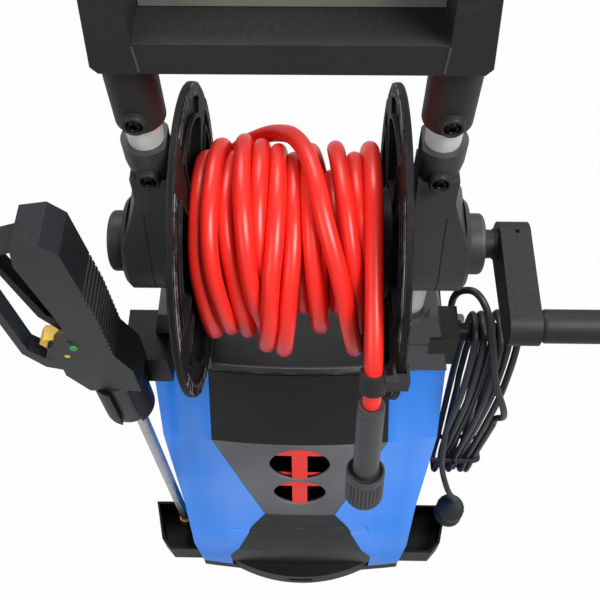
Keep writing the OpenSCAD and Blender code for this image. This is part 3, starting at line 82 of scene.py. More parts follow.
def aim_camera(place, yaw, pitch, roll, lens):
    """A camera at place that looks yaw degrees left and pitch degrees down."""
    a, e, r = radians(yaw), radians(pitch), radians(roll)
    ahead = Vector((-sin(a) * cos(e), cos(a) * cos(e), -sin(e)))
    level = Vector((cos(a), sin(a), 0))
    upward = level.cross(ahead)
    right = level * cos(r) + upward * sin(r)
    top = -level * sin(r) + upward * cos(r)
    data = bpy.data.cameras.new("camera")
    data.lens = lens
    data.sensor_width = 36
    data.clip_start = 0.02
    data.clip_end = 50
    camera = bpy.data.objects.new("camera", data)
    turn = Matrix((right, top, -ahead)).transposed()
    camera.matrix_world = Matrix.Translation(place) @ turn.to_4x4()
    bpy.context.scene.collection.objects.link(camera)
    bpy.context.scene.camera = camera


def softbox(name, place, target, size, power):
    data = bpy.data.lights.new(name, "AREA")
    data.shape = "DISK"
    data.size = size
    data.energy = power
    lamp = bpy.data.objects.new(name, data)
    lamp.location = place
    lamp.rotation_euler = (Vector(target) - Vector(place)).to_track_quat("-Z", "Y").to_euler()
    bpy.context.scene.collection.objects.link(lamp)


def white_when_seen(tree, lit):
    """Mixes a lit shader with plain white for the rays that show the backdrop."""
    nodes = tree.nodes
    path = nodes.new("ShaderNodeLightPath")
    seen = nodes.new("ShaderNodeMath")
    seen.operation = "MAXIMUM"
    tree.links.new(path.outputs["Is Camera Ray"], seen.inputs[0])
    tree.links.new(path.outputs["Is Transmission Ray"], seen.inputs[1])
    share = nodes.new("ShaderNodeMath")
    share.operation = "MULTIPLY"
    share.inputs[1].default_value = WHITE_SHARE
    tree.links.new(seen.outputs[0], share.inputs[0])
    glow = nodes.new("ShaderNodeEmission")
    glow.inputs["Color"].default_value = (1, 1, 1, 1)
    glow.inputs["Strength"].default_value = 1
    blend = nodes.new("ShaderNodeMixShader")
    tree.links.new(share.outputs[0], blend.inputs[0])
    tree.links.new(lit, blend.inputs[1])
    tree.links.new(glow.outputs[0], blend.inputs[2])
    return blend.outputs[0]


def make_stage():
    """A pale floor that keeps the shadow, a white world, and three soft lamps."""
    material = bpy.data.materials.new("floor_white")
    material.use_nodes = True
    tree = material.node_tree
    tree.nodes.clear()
    matt = tree.nodes.new("ShaderNodeBsdfDiffuse")
    matt.inputs["Color"].default_value = (FLOOR_GREY, FLOOR_GREY, FLOOR_GREY, 1)
    out = tree.nodes.new("ShaderNodeOutputMaterial")
    tree.links.new(white_when_seen(tree, matt.outputs[0]), out.inputs["Surface"])
    mesh = bpy.data.meshes.new("floor")
    corners = [(FLOOR_HALF * x, FLOOR_HALF * y, 0) for x, y in ((-1, -1), (1, -1), (1, 1), (-1, 1))]
    mesh.from_pydata(corners, [], [(0, 1, 2, 3)])
    mesh.materials.append(material)
    floor = bpy.data.objects.new("floor", mesh)
    bpy.context.scene.collection.objects.link(floor)
    world = bpy.data.worlds.new("studio")
    bpy.context.scene.world = world
    world.use_nodes = True
    tree = world.node_tree
    tree.nodes.clear()
    sky = tree.nodes.new("ShaderNodeBackground")
    sky.inputs["Color"].default_value = (0.96, 0.98, 1, 1)
    sky.inputs["Strength"].default_value = SKY_STRENGTH
    plain = tree.nodes.new("ShaderNodeBackground")
    plain.inputs["Strength"].default_value = 1
    plain.inputs["Color"].default_value = (1, 1, 1, 1)
    path = tree.nodes.new("ShaderNodeLightPath")
    blend = tree.nodes.new("ShaderNodeMixShader")
    out = tree.nodes.new("ShaderNodeOutputWorld")
    tree.links.new(path.outputs["Is Camera Ray"], blend.inputs[0])
    tree.links.new(sky.outputs[0], blend.inputs[1])
    tree.links.new(plain.outputs[0], blend.inputs[2])
    tree.links.new(blend.outputs[0], out.inputs["Surface"])
    softbox("key", (1.2, -0.7, 2.6), (0, 0, 0.5), 1.2, 62)
    softbox("fill", (-1.6, -1.0, 1.9), (0, 0, 0.5), 1.4, 14)
    softbox("rim", (-0.2, 1.6, 2.4), (0, 0, 0.6), 1.2, 26)


bpy.context.scene.view_settings.view_transform = "Standard"
aim_camera(mm(14.59, -382.93, 1191.91), yaw=1.87, pitch=59.2, roll=-1.01, lens=50)
make_stage()

# ---- finishes ----


def node(tree, kind, **sockets):
    """A new node. Keywords set inputs by name, with _ for a space; a socket is linked."""
    made = tree.nodes.new(kind)
    for name, value in sockets.items():
        target = made.inputs[name.replace("_", " ")]
        if isinstance(value, bpy.types.NodeSocket):
            tree.links.new(value, target)
        else:
            target.default_value = value
    return made


def calc(tree, operation, a, b=None, clamp=False):
    made = tree.nodes.new("ShaderNodeMath")
    made.operation = operation
    made.use_clamp = clamp
    for target, value in zip(made.inputs, (a, b)):
        if isinstance(value, bpy.types.NodeSocket):
            tree.links.new(value, target)
        elif value is not None:
            target.default_value = value
    return made.outputs[0]


def effect(name, inputs, outputs):
    """An empty shader group with its sockets, and its two end nodes."""
    tree = bpy.data.node_groups.new(name, "ShaderNodeTree")
    for label, kind, value in inputs:
        made = tree.interface.new_socket(name=label, in_out="INPUT", socket_type=kind)
        if value is not None:
            made.default_value = value
    for label in outputs:
        tree.interface.new_socket(name=label, in_out="OUTPUT", socket_type="NodeSocketFloat")
    return tree, tree.nodes.new("NodeGroupInput").outputs, tree.nodes.new("NodeGroupOutput").inputs


def smooth_step(tree, value, low, high):
    """0 below low, 1 above high and smooth between."""
    made = node(tree, "ShaderNodeMapRange", Value=value, From_Min=low, From_Max=high)
    made.interpolation_type = "SMOOTHSTEP"
    return made.outputs[0]


FLOAT, VECTOR = "NodeSocketFloat", "NodeSocketVector"


def moulded_grain():
    """Fine even texture of moulded plastic, with a slow waviness under it."""
    tree, given, put = effect(
        "moulded_grain",
        [("Vector", VECTOR, None), ("Fineness", FLOAT, 1400.0), ("Waves", FLOAT, 0.5)],
        ["Height", "Cloud"],
    )
    fine = node(tree, "ShaderNodeTexNoise", Vector=given["Vector"], Scale=given["Fineness"], Detail=2.0)
    slow = node(tree, "ShaderNodeTexNoise", Vector=given["Vector"], Scale=14.0, Detail=2.0)
    waves = calc(tree, "MULTIPLY", slow.outputs["Fac"], given["Waves"])
    tree.links.new(calc(tree, "ADD", fine.outputs["Fac"], waves), put["Height"])
    tree.links.new(slow.outputs["Fac"], put["Cloud"])
    return tree


def edge_wear():
    """Where the rounded edges of a piece are rubbed, and on the flange and its slot walls painted
    lighter as a highlight: its wear attribute, broken up.
    """
    tree, given, put = effect(
        "edge_wear", [("Vector", VECTOR, None), ("Amount", FLOAT, 0.5)], ["Mask"]
    )
    edge = tree.nodes.new("ShaderNodeAttribute")
    edge.attribute_name = "wear"
    patches = node(tree, "ShaderNodeTexNoise", Vector=given["Vector"], Scale=70.0, Detail=4.0)
    rubbed_and_highlight = smooth_step(tree, patches.outputs["Fac"], 0.35, 0.65)
    mask = calc(tree, "MULTIPLY", edge.outputs["Fac"], rubbed_and_highlight)
    tree.links.new(calc(tree, "MULTIPLY", mask, given["Amount"]), put["Mask"])
    return tree


def settled_dust():
    """A thin veil on the faces that look up."""
    tree, given, put = effect(
        "settled_dust", [("Vector", VECTOR, None), ("Amount", FLOAT, 0.2)], ["Mask"]
    )
    facing = tree.nodes.new("ShaderNodeNewGeometry")
    parts = node(tree, "ShaderNodeSeparateXYZ", Vector=facing.outputs["Normal"])
    flat = smooth_step(tree, parts.outputs["Z"], 0.55, 0.98)
    specks = node(tree, "ShaderNodeTexNoise", Vector=given["Vector"], Scale=420.0, Detail=4.0)
    mask = calc(tree, "MULTIPLY", flat, smooth_step(tree, specks.outputs["Fac"], 0.3, 0.8))
    tree.links.new(calc(tree, "MULTIPLY", mask, given["Amount"]), put["Mask"])
    return tree


def pale_sheen():
    """Painted sheen: a pale haze on the faces that lean back a little, none on upright ones, painting
    the reflection of the bright floor that those faces show.
    """
    tree, given, put = effect(
        "pale_sheen", [("Vector", VECTOR, None), ("Amount", FLOAT, 0.0)], ["Mask"]
    )
    facing = tree.nodes.new("ShaderNodeNewGeometry")
    parts = node(tree, "ShaderNodeSeparateXYZ", Vector=facing.outputs["Normal"])
    lean = smooth_step(tree, parts.outputs["Z"], 0.1, 0.4)
    cloud = node(tree, "ShaderNodeTexNoise", Vector=given["Vector"], Scale=9.0, Detail=1.0)
    mask = calc(tree, "MULTIPLY", lean, smooth_step(tree, cloud.outputs["Fac"], 0.0, 0.7))
    tree.links.new(calc(tree, "MULTIPLY", mask, given["Amount"]), put["Mask"])
    return tree


def fine_scratches():
    """Short thin scuffs in two directions."""
    tree, given, put = effect(
        "fine_scratches", [("Vector", VECTOR, None), ("Amount", FLOAT, 0.2)], ["Mask"]
    )
    total = None
    for turn, stretch in ((0.5, (30.0, 900.0, 60.0)), (-0.9, (700.0, 40.0, 90.0))):
        place = node(tree, "ShaderNodeMapping", Vector=given["Vector"])
        place.inputs["Rotation"].default_value = (0, turn, turn)
        place.inputs["Scale"].default_value = stretch
        lines = node(tree, "ShaderNodeTexNoise", Vector=place.outputs[0], Scale=1.0, Detail=1.0)
        mark = smooth_step(tree, lines.outputs["Fac"], 0.68, 0.74)
        total = mark if total is None else calc(tree, "MAXIMUM", total, mark)
    tree.links.new(calc(tree, "MULTIPLY", total, given["Amount"]), put["Mask"])
    return tree


GRAIN, WEAR_AND_HIGHLIGHT, DUST, SCRATCHES = moulded_grain(), edge_wear(), settled_dust(), fine_scratches()
PAINTED_SHEEN = pale_sheen()


def placed(tree, group, vector, **values):
    """A group in a material, with its own values."""
    made = tree.nodes.new("ShaderNodeGroup")
    made.node_tree = group
    tree.links.new(vector, made.inputs["Vector"])
    for name, value in values.items():
        made.inputs[name].default_value = value
    return made.outputs


def blend_colour(tree, mask, under, over):
    made = tree.nodes.new("ShaderNodeMix")
    made.data_type = "RGBA"
    for target, value in zip([made.inputs[0], made.inputs[6], made.inputs[7]], (mask, under, over)):
        if isinstance(value, bpy.types.NodeSocket):
            tree.links.new(value, target)
        else:
            target.default_value = value
    return made.outputs[2]


def linear(rgb):
    """Screen values from 0 to 255 as the colour that a shader takes."""
    out = []
    for v in rgb:
        v /= 255
        out.append(v / 12.92 if v <= 0.04045 else ((v + 0.055) / 1.055) ** 2.4)
    return (*out, 1)


def new_material(name):
    material = bpy.data.materials.new(name)
    material.use_nodes = True
    tree = material.node_tree
    tree.nodes.clear()
    coords = tree.nodes.new("ShaderNodeTexCoord").outputs["Object"]
    shader = tree.nodes.new("ShaderNodeBsdfPrincipled")
    out = tree.nodes.new("ShaderNodeOutputMaterial")
    tree.links.new(shader.outputs[0], out.inputs["Surface"])
    return material, tree, coords, shader


def uneven(tree, cloud, middle, spread):
    """A roughness that drifts round its middle value."""
    made = node(tree, "ShaderNodeMapRange", Value=cloud, From_Min=0.3, From_Max=0.7)
    made.inputs["To Min"].default_value = middle - spread
    made.inputs["To Max"].default_value = middle + spread
    return made.outputs[0]


def relief(tree, height, depth):
    made = node(tree, "ShaderNodeBump", Height=height, Distance=depth, Strength=1.0)
    return made.outputs["Normal"]


def plastic(
    name, colour, worn_and_highlight, rough, fineness=1400.0, depth=0.00003, wear=0.3, dust=0.03,
    scratch=0.03, waves=0.3, spread=0.03, coat=0.0, specular=0.4, sheen=0.0,
):
    """Moulded plastic or rubber: drifting tone, rubbed edges, scuffs, dust and grain; on flange_black
    the rubbed edges are a painted highlight, and some finishes add a painted sheen.
    """
    material, tree, coords, shader = new_material(name)
    grain = placed(tree, GRAIN, coords, Fineness=fineness, Waves=waves)
    deep = tuple(c * 0.92 for c in linear(colour)[:3]) + (1,)
    tone = blend_colour(tree, smooth_step(tree, grain["Cloud"], 0.3, 0.7), linear(colour), deep)
    tone = blend_colour(tree, placed(tree, WEAR_AND_HIGHLIGHT, coords, Amount=wear)["Mask"], tone, linear(worn_and_highlight))
    marks = placed(tree, SCRATCHES, coords, Amount=scratch)["Mask"]
    tone = blend_colour(tree, marks, tone, linear(worn_and_highlight))
    # painted sheen: faces that lean back are blended towards pale grey, a painted reflection of the
    # bright floor
    if sheen:
        painted_sheen_mask = placed(tree, PAINTED_SHEEN, coords, Amount=sheen)["Mask"]
        tone = blend_colour(tree, painted_sheen_mask, tone, linear((205, 208, 214)))
    veil = placed(tree, DUST, coords, Amount=dust)["Mask"]
    tone = blend_colour(tree, veil, tone, linear((150, 148, 143)))
    tree.links.new(tone, shader.inputs["Base Color"])
    base = uneven(tree, grain["Cloud"], rough, spread)
    rough_total = calc(tree, "ADD", base, calc(tree, "MULTIPLY", veil, 0.3))
    tree.links.new(rough_total, shader.inputs["Roughness"])
    tree.links.new(relief(tree, grain["Height"], depth), shader.inputs["Normal"])
    shader.inputs["Specular IOR Level"].default_value = specular
    shader.inputs["Coat Weight"].default_value = coat
    shader.inputs["Coat Roughness"].default_value = 0.08
    return material


def metal(name, colour, dark, rough, stretch=(500.0, 500.0, 14.0), depth=0.00001, spread=0.08,
          metallic=1.0):
    """Bare metal, brushed along one direction, with a faint stain."""
    material, tree, coords, shader = new_material(name)
    place = node(tree, "ShaderNodeMapping", Vector=coords)
    place.inputs["Scale"].default_value = stretch
    lines = node(tree, "ShaderNodeTexNoise", Vector=place.outputs[0], Scale=1.0, Detail=3.0)
    stain = node(tree, "ShaderNodeTexNoise", Vector=coords, Scale=45.0, Detail=4.0)
    mask = calc(tree, "MULTIPLY", smooth_step(tree, stain.outputs["Fac"], 0.45, 0.8), 0.6)
    tone = blend_colour(tree, mask, linear(colour), linear(dark))
    tree.links.new(tone, shader.inputs["Base Color"])
    shader.inputs["Metallic"].default_value = metallic
    tree.links.new(uneven(tree, lines.outputs["Fac"], rough, spread), shader.inputs["Roughness"])
    tree.links.new(relief(tree, lines.outputs["Fac"], depth), shader.inputs["Normal"])
    return material


FINISHES = {
    "body_black": plastic("body_black", (15, 13, 13), (74, 71, 71), 0.42, dust=0.01, specular=0.2),
    "frame_black": plastic(
        "frame_black", (42, 40, 41), (112, 111, 112), 0.48, depth=0.00005, wear=0.45, specular=0.22
    ),
    # flange_black: its edge wear is set so high that the edges become solid light lines, a painted
    # highlight
    "flange_black": plastic(
        "flange_black", (26, 25, 26), (138, 137, 140), 0.55, depth=0.00004, wear=1.6, specular=0.12
    ),
    # body_grey and panel_blue take the painted sheen on their faces that lean back
    "body_grey": plastic("body_grey", (22, 19, 18), (106, 106, 110), 0.42, specular=0.32, sheen=0.26),
    "panel_blue": plastic(
        "panel_blue", (0, 137, 255), (120, 195, 255), 0.2, depth=0.000012, dust=0.0,
        scratch=0.01, coat=0.15, specular=0.25, sheen=0.21,
    ),
    "accent_red": plastic("accent_red", (238, 52, 46), (255, 130, 120), 0.34, dust=0.02, specular=0.5),
    "nose_black": plastic("nose_black", (34, 33, 36), (84, 84, 88), 0.38),
    "panel_olive": plastic("panel_olive", (132, 129, 122), (164, 161, 154), 0.5),
    "rubber_black": plastic(
        "rubber_black", (34, 34, 36), (80, 81, 84), 0.55, fineness=900.0, depth=0.00006
    ),
    "tyre_black": plastic(
        "tyre_black", (26, 26, 27), (70, 69, 67), 0.7, fineness=700.0, depth=0.00012, wear=0.5,
        dust=0.12,
    ),
    "hose_red": plastic(
        "hose_red", (246, 44, 34), (255, 130, 112), 0.34, fineness=520.0, depth=0.00004, wear=0.0,
        dust=0.02, scratch=0.04, waves=0.8, specular=0.5,
    ),
    "cord_black": plastic(
        "cord_black", (36, 36, 38), (84, 84, 86), 0.42, fineness=800.0, depth=0.00005, wear=0.0
    ),
    "gun_black": plastic("gun_black", (36, 37, 40), (90, 91, 96), 0.4, depth=0.00005),
    "lock_yellow": plastic("lock_yellow", (250, 205, 70), (255, 232, 150), 0.38, specular=0.5),
    "button_green": plastic("button_green", (52, 150, 70), (110, 190, 120), 0.4),
    "motor_grey": plastic("motor_grey", (120, 121, 124), (170, 170, 172), 0.5, depth=0.00008),
    "bearing_black": plastic(
        "bearing_black", (58, 57, 58), (116, 115, 116), 0.44, depth=0.00005, specular=0.3
    ),
    # coupling_black also paints the columns, the deck edge strip and the arm edge strips lighter, as
    # painted light
    "coupling_black": plastic("coupling_black", (66, 66, 69), (118, 118, 122), 0.42, wear=0.0),
    "tube_metal": metal(
        "tube_metal", (226, 224, 223), (200, 198, 197), 0.55, spread=0.03, metallic=0.4
    ),
    "steel": metal("steel", (196, 196, 198), (140, 140, 142), 0.26),
    "screw_black": metal("screw_black", (40, 40, 42), (26, 26, 28), 0.3, stretch=(90.0, 90.0, 90.0)),
    "brass": metal("brass", (206, 168, 92), (140, 106, 48), 0.28, stretch=(300.0, 300.0, 300.0)),
    "pump_metal": metal(
        "pump_metal", (176, 177, 180), (120, 121, 124), 0.48, stretch=(160.0, 160.0, 160.0)
    ),
}

# ---- making pieces ----


def body_of(node_name):
    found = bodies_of(NODES[node_name])
    return found if isinstance(found, str) else list(found)[0]


SLOTS = {name: made.data.materials[0].name.split(".")[0] for name, made in NODES.items()}


def even_shading(mesh, angle=38):
    """Smooth across shallow edges, crisp across sharp ones."""
    mesh.shade_smooth()
    mesh.set_sharp_from_angle(angle=radians(angle))


def piece(name, mesh, body, slot, replaced=(), weighted=True, finish=None):
    """A finished piece: it takes its finish, rides on its body and stands for its nodes."""
    mesh.materials.clear()
    mesh.materials.append(FINISHES[finish or slot])
    made = bpy.data.objects.new(name, mesh)
    bpy.context.scene.collection.objects.link(made)
    if weighted:
        even = made.modifiers.new("even", "WEIGHTED_NORMAL")
        even.keep_sharp = True
    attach(made, body)
    if replaced:
        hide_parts(*replaced)
    return made


def from_bmesh(name, bm):
    mesh = bpy.data.meshes.new(name)
    bm.to_mesh(mesh)
    bm.free()
    return mesh


def rounded(node_name, width, segments=2, sharp=32, name=None, flat=1.0, finish=None):
    """A copy of a CAD node with its sharp edges rounded, and those edges marked for wear, which on the
    flange is a painted highlight.
    """
    source = NODES[node_name]
    bm = bmesh.new()
    bm.from_mesh(source.data)
    bm.transform(source.matrix_world)
    bmesh.ops.remove_doubles(bm, verts=bm.verts, dist=0.02 * MM)
    bmesh.ops.dissolve_limit(bm, angle_limit=radians(flat), verts=bm.verts, edges=bm.edges)
    edges = [
        e for e in bm.edges if len(e.link_faces) == 2 and e.calc_face_angle() > radians(sharp)
    ]
    worn_and_highlight = bm.faces.layers.float.new("wear")
    made = bmesh.ops.bevel(
        bm, geom=edges, offset=width * MM, offset_type="OFFSET", segments=segments,
        profile=0.5, affect="EDGES", clamp_overlap=True, loop_slide=True,
    )
    for face in made["faces"]:
        face[worn_and_highlight] = 1.0
    mesh = from_bmesh(name or node_name + "_shell", bm)
    even_shading(mesh)
    return piece(
        mesh.name, mesh, body_of(node_name), SLOTS[node_name], [node_name], finish=finish
    )


def clamped(value):
    return max(-1, min(1, value))


def skin(bm, rows, closed=False):
    """Faces between neighbouring rings. The ends are capped, or joined when it is closed."""
    pairs = list(zip(rows, rows[1:])) + ([(rows[-1], rows[0])] if closed else [])
    for low, high in pairs:
        for k in range(len(low)):
            n = (k + 1) % len(low)
            bm.faces.new((low[k], low[n], high[n], high[k]))
    if not closed:
        bm.faces.new(rows[0][::-1])
        bm.faces.new(rows[-1])


def turned(name, profile, count, place, ribs=0, rib_depth=0.0, ribbed=None, closed=False):
    """A piece turned on a lathe: (radius, height) pairs in mm, in the frame of place.

    ribs pleats what lies between two heights and past a radius, given by ribbed.
    A closed profile makes a ring; an open one is capped.
    """
    bm = bmesh.new()
    rows = []
    for r, h in profile:
        ring = []
        for k in range(count):
            a = 2 * pi * k / count
            out = r
            if ribs and ribbed[0] <= h <= ribbed[1] and r > ribbed[2]:
                wave = cos(ribs * a)
                out = r - rib_depth * (0.5 - 0.5 * clamped(2.2 * wave))
            ring.append(bm.verts.new(mm(out * cos(a), out * sin(a), h)))
        rows.append(ring)
    skin(bm, rows, closed)
    bmesh.ops.remove_doubles(bm, verts=bm.verts, dist=0.001 * MM)
    bmesh.ops.recalc_face_normals(bm, faces=bm.faces)
    bm.transform(place)
    mesh = from_bmesh(name, bm)
    even_shading(mesh, 50)
    return mesh


def joined(name, meshes):
    """Several meshes as one."""
    bm = bmesh.new()
    for mesh in meshes:
        bm.from_mesh(mesh)
        bpy.data.meshes.remove(mesh)
    mesh = from_bmesh(name, bm)
    even_shading(mesh)
    return mesh


def curve_points(points, steps):
    """A smooth run through given points, with steps parts between each two."""
    out = []
    last = len(points) - 1
    for i in range(last):
        a, b = points[max(i - 1, 0)], points[i]
        c, d = points[i + 1], points[min(i + 2, last)]
        for j in range(steps):
            t = j / steps
            out.append(
                0.5 * (2 * b + (c - a) * t + (2 * a - 5 * b + 4 * c - d) * t ** 2
                       + (3 * b - a - 3 * c + d) * t ** 3)
            )
    out.append(points[last])
    return out


def cord_piece(name, points, radius, body, slot, replaced, roundness=4):
    """A cord as a curve of one open spline."""
    data = bpy.data.curves.new(name, "CURVE")
    data.dimensions = "3D"
    data.bevel_depth = radius * MM
    data.bevel_resolution = roundness
    data.use_fill_caps = True
    data.twist_mode = "MINIMUM"
    spline = data.splines.new("POLY")
    spline.points.add(len(points) - 1)
    for target, p in zip(spline.points, points):
        target.co = (*p, 1)
    spline.use_smooth = True
    data.materials.append(FINISHES[slot])
    made = bpy.data.objects.new(name, data)
    bpy.context.scene.collection.objects.link(made)
    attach(made, body)
    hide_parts(*replaced)
    return made


def tapered(name, points, radii, count=20):
    """A tube along points whose radius changes, with closed ends. Millimetre radii."""
    bm = bmesh.new()
    rows = []
    side = None
    for i, p in enumerate(points):
        along = (points[min(i + 1, len(points) - 1)] - points[max(i - 1, 0)]).normalized()
        if side is None:
            side = along.orthogonal().normalized()
        side = (side - along * side.dot(along)).normalized()
        other = along.cross(side)
        ring = []
        for k in range(count):
            a = 2 * pi * k / count
            ring.append(bm.verts.new(p + radii[i] * MM * (cos(a) * side + sin(a) * other)))
        rows.append(ring)
    skin(bm, rows)
    bmesh.ops.recalc_face_normals(bm, faces=bm.faces)
    mesh = from_bmesh(name, bm)
    even_shading(mesh, 50)
    return mesh


# ---- repeated things: Geometry Nodes trees ----


def geometry_tree(name, inputs):
    tree = bpy.data.node_groups.new(name, "GeometryNodeTree")
    for label, kind, value in inputs:
        made = tree.interface.new_socket(name=label, in_out="INPUT", socket_type=kind)
        if value is not None:
            made.default_value = value
    tree.interface.new_socket(name="Geometry", in_out="OUTPUT", socket_type="NodeSocketGeometry")
    return tree, tree.nodes.new("NodeGroupInput").outputs, tree.nodes.new("NodeGroupOutput").inputs


def finish_tree(tree, source, given, put):
    real = node(tree, "GeometryNodeRealizeInstances", Geometry=source)
    dressed = node(tree, "GeometryNodeSetMaterial", Geometry=real.outputs[0], Material=given["Finish"])
    tree.links.new(dressed.outputs[0], put["Geometry"])


def ring_of_blocks():
    """Small blocks round a circle, each with its X side outwards."""
    tree, given, put = geometry_tree("ring_of_blocks", [
        ("Count", "NodeSocketInt", 60), ("Radius", "NodeSocketFloat", 0.1),
        ("Depth", "NodeSocketFloat", 0.005), ("Width", "NodeSocketFloat", 0.002),
        ("Height", "NodeSocketFloat", 0.002), ("Slant", "NodeSocketFloat", 0.0),
        ("Finish", "NodeSocketMaterial", None),
    ])
    size = node(tree, "ShaderNodeCombineXYZ", X=given["Depth"], Y=given["Width"], Z=given["Height"])
    block = node(tree, "GeometryNodeMeshCube", Size=size.outputs[0])
    circle = node(tree, "GeometryNodeMeshCircle", Vertices=given["Count"], Radius=given["Radius"])
    outward = tree.nodes.new("GeometryNodeInputPosition")
    turn = tree.nodes.new("FunctionNodeAlignEulerToVector")
    turn.axis = "X"
    turn.pivot_axis = "Z"
    tree.links.new(outward.outputs[0], turn.inputs["Vector"])
    slant = node(tree, "ShaderNodeCombineXYZ", X=given["Slant"])
    both = tree.nodes.new("FunctionNodeRotateEuler")
    both.space = "LOCAL"
    tree.links.new(turn.outputs[0], both.inputs["Rotation"])
    tree.links.new(slant.outputs[0], both.inputs["Rotate By"])
    spread = node(
        tree, "GeometryNodeInstanceOnPoints", Points=circle.outputs["Mesh"],
        Instance=block.outputs["Mesh"], Rotation=both.outputs[0],
    )
    finish_tree(tree, spread.outputs[0], given, put)
    return tree


def copies_at_points():
    """A copy of one piece at every point of the mesh."""
    tree, given, put = geometry_tree("copies_at_points", [
        ("Places", "NodeSocketGeometry", None), ("Piece", "NodeSocketObject", None),
        ("Turn", "NodeSocketVector", None), ("Finish", "NodeSocketMaterial", None),
    ])
    source = node(tree, "GeometryNodeObjectInfo", Object=given["Piece"])
    spread = node(
        tree, "GeometryNodeInstanceOnPoints", Points=given["Places"],
        Instance=source.outputs["Geometry"], Rotation=given["Turn"],
    )
    finish_tree(tree, spread.outputs[0], given, put)
    return tree


def baked(name, tree, values, points=(), place=None):
    """Runs a tree with its inputs set by identifier, and gives the result as a plain mesh."""
    start = bpy.data.meshes.new(name + "_start")
    start.from_pydata([tuple(p) for p in points], [], [])
    holder = bpy.data.objects.new(name + "_start", start)
    bpy.context.scene.collection.objects.link(holder)
    modifier = holder.modifiers.new("repeat", "NODES")
    modifier.node_group = tree
    for item in tree.interface.items_tree:
        if item.in_out == "INPUT" and item.name in values:
            modifier[item.identifier] = values[item.name]
    graph = bpy.context.evaluated_depsgraph_get()
    mesh = bpy.data.meshes.new_from_object(holder.evaluated_get(graph))
    holder.modifiers.remove(modifier)
    bpy.data.objects.remove(holder)
    mesh.name = name
    if place is not None:
        mesh.transform(place)
    return mesh


RING, COPIES = ring_of_blocks(), copies_at_points()


def blocks_round(name, slot, count, radius, depth, width, height, place, slant=0.0):
    values = {
        "Count": count, "Radius": radius * MM, "Depth": depth * MM, "Width": width * MM,
        "Height": height * MM, "Slant": radians(slant), "Finish": FINISHES[slot],
    }
    return baked(name, RING, values, place=place)


def copies(name, slot, template, points, turn):
    """A template mesh at each point, turned by Euler angles in degrees."""
    holder = bpy.data.objects.new(name + "_one", template)
    bpy.context.scene.collection.objects.link(holder)
    values = {"Piece": holder, "Turn": [radians(v) for v in turn], "Finish": FINISHES[slot]}
    mesh = baked(name, COPIES, values, points)
    bpy.data.objects.remove(holder)
    return mesh


def upright(x, y, z):
    return Matrix.Translation(mm(x, y, z))


def along_x(x, y, z, side=1):
    """A frame whose Z axis runs along +X or -X."""
    return Matrix.Translation(mm(x, y, z)) @ Matrix.Rotation(radians(90 * side), 4, "Y")


# ---- sizes shared with the CAD ----

REEL_Z = 640
HOSE_R = 6.8
FLANGE_IN = {"left": -78, "right": 74}
TAIL_X = 57.2
FERRULE_AT = mm(TAIL_X, -137, 632)
HOSE_END = Matrix.Translation(FERRULE_AT) @ Matrix.Rotation(radians(-15), 4, "X")
TAIL_ROUTE = [
    mm(TAIL_X, y, z) for y, z in (
        (37, 576), (64, 603), (74, 640), (64, 677), (37, 704), (0, 714), (-33, 707),
        (-67, 694), (-96, 681), (-117, 666), (-130, 649), (-137, 632),
    )
]

# ---- the hose ----

INNER_R = 51.2  # radius of the layer on the drum
INNER_PITCH = 13.95
INNER_END_X = 52
WINDING_START = -140  # degrees from the top towards the front
WINDING_STEP = 15
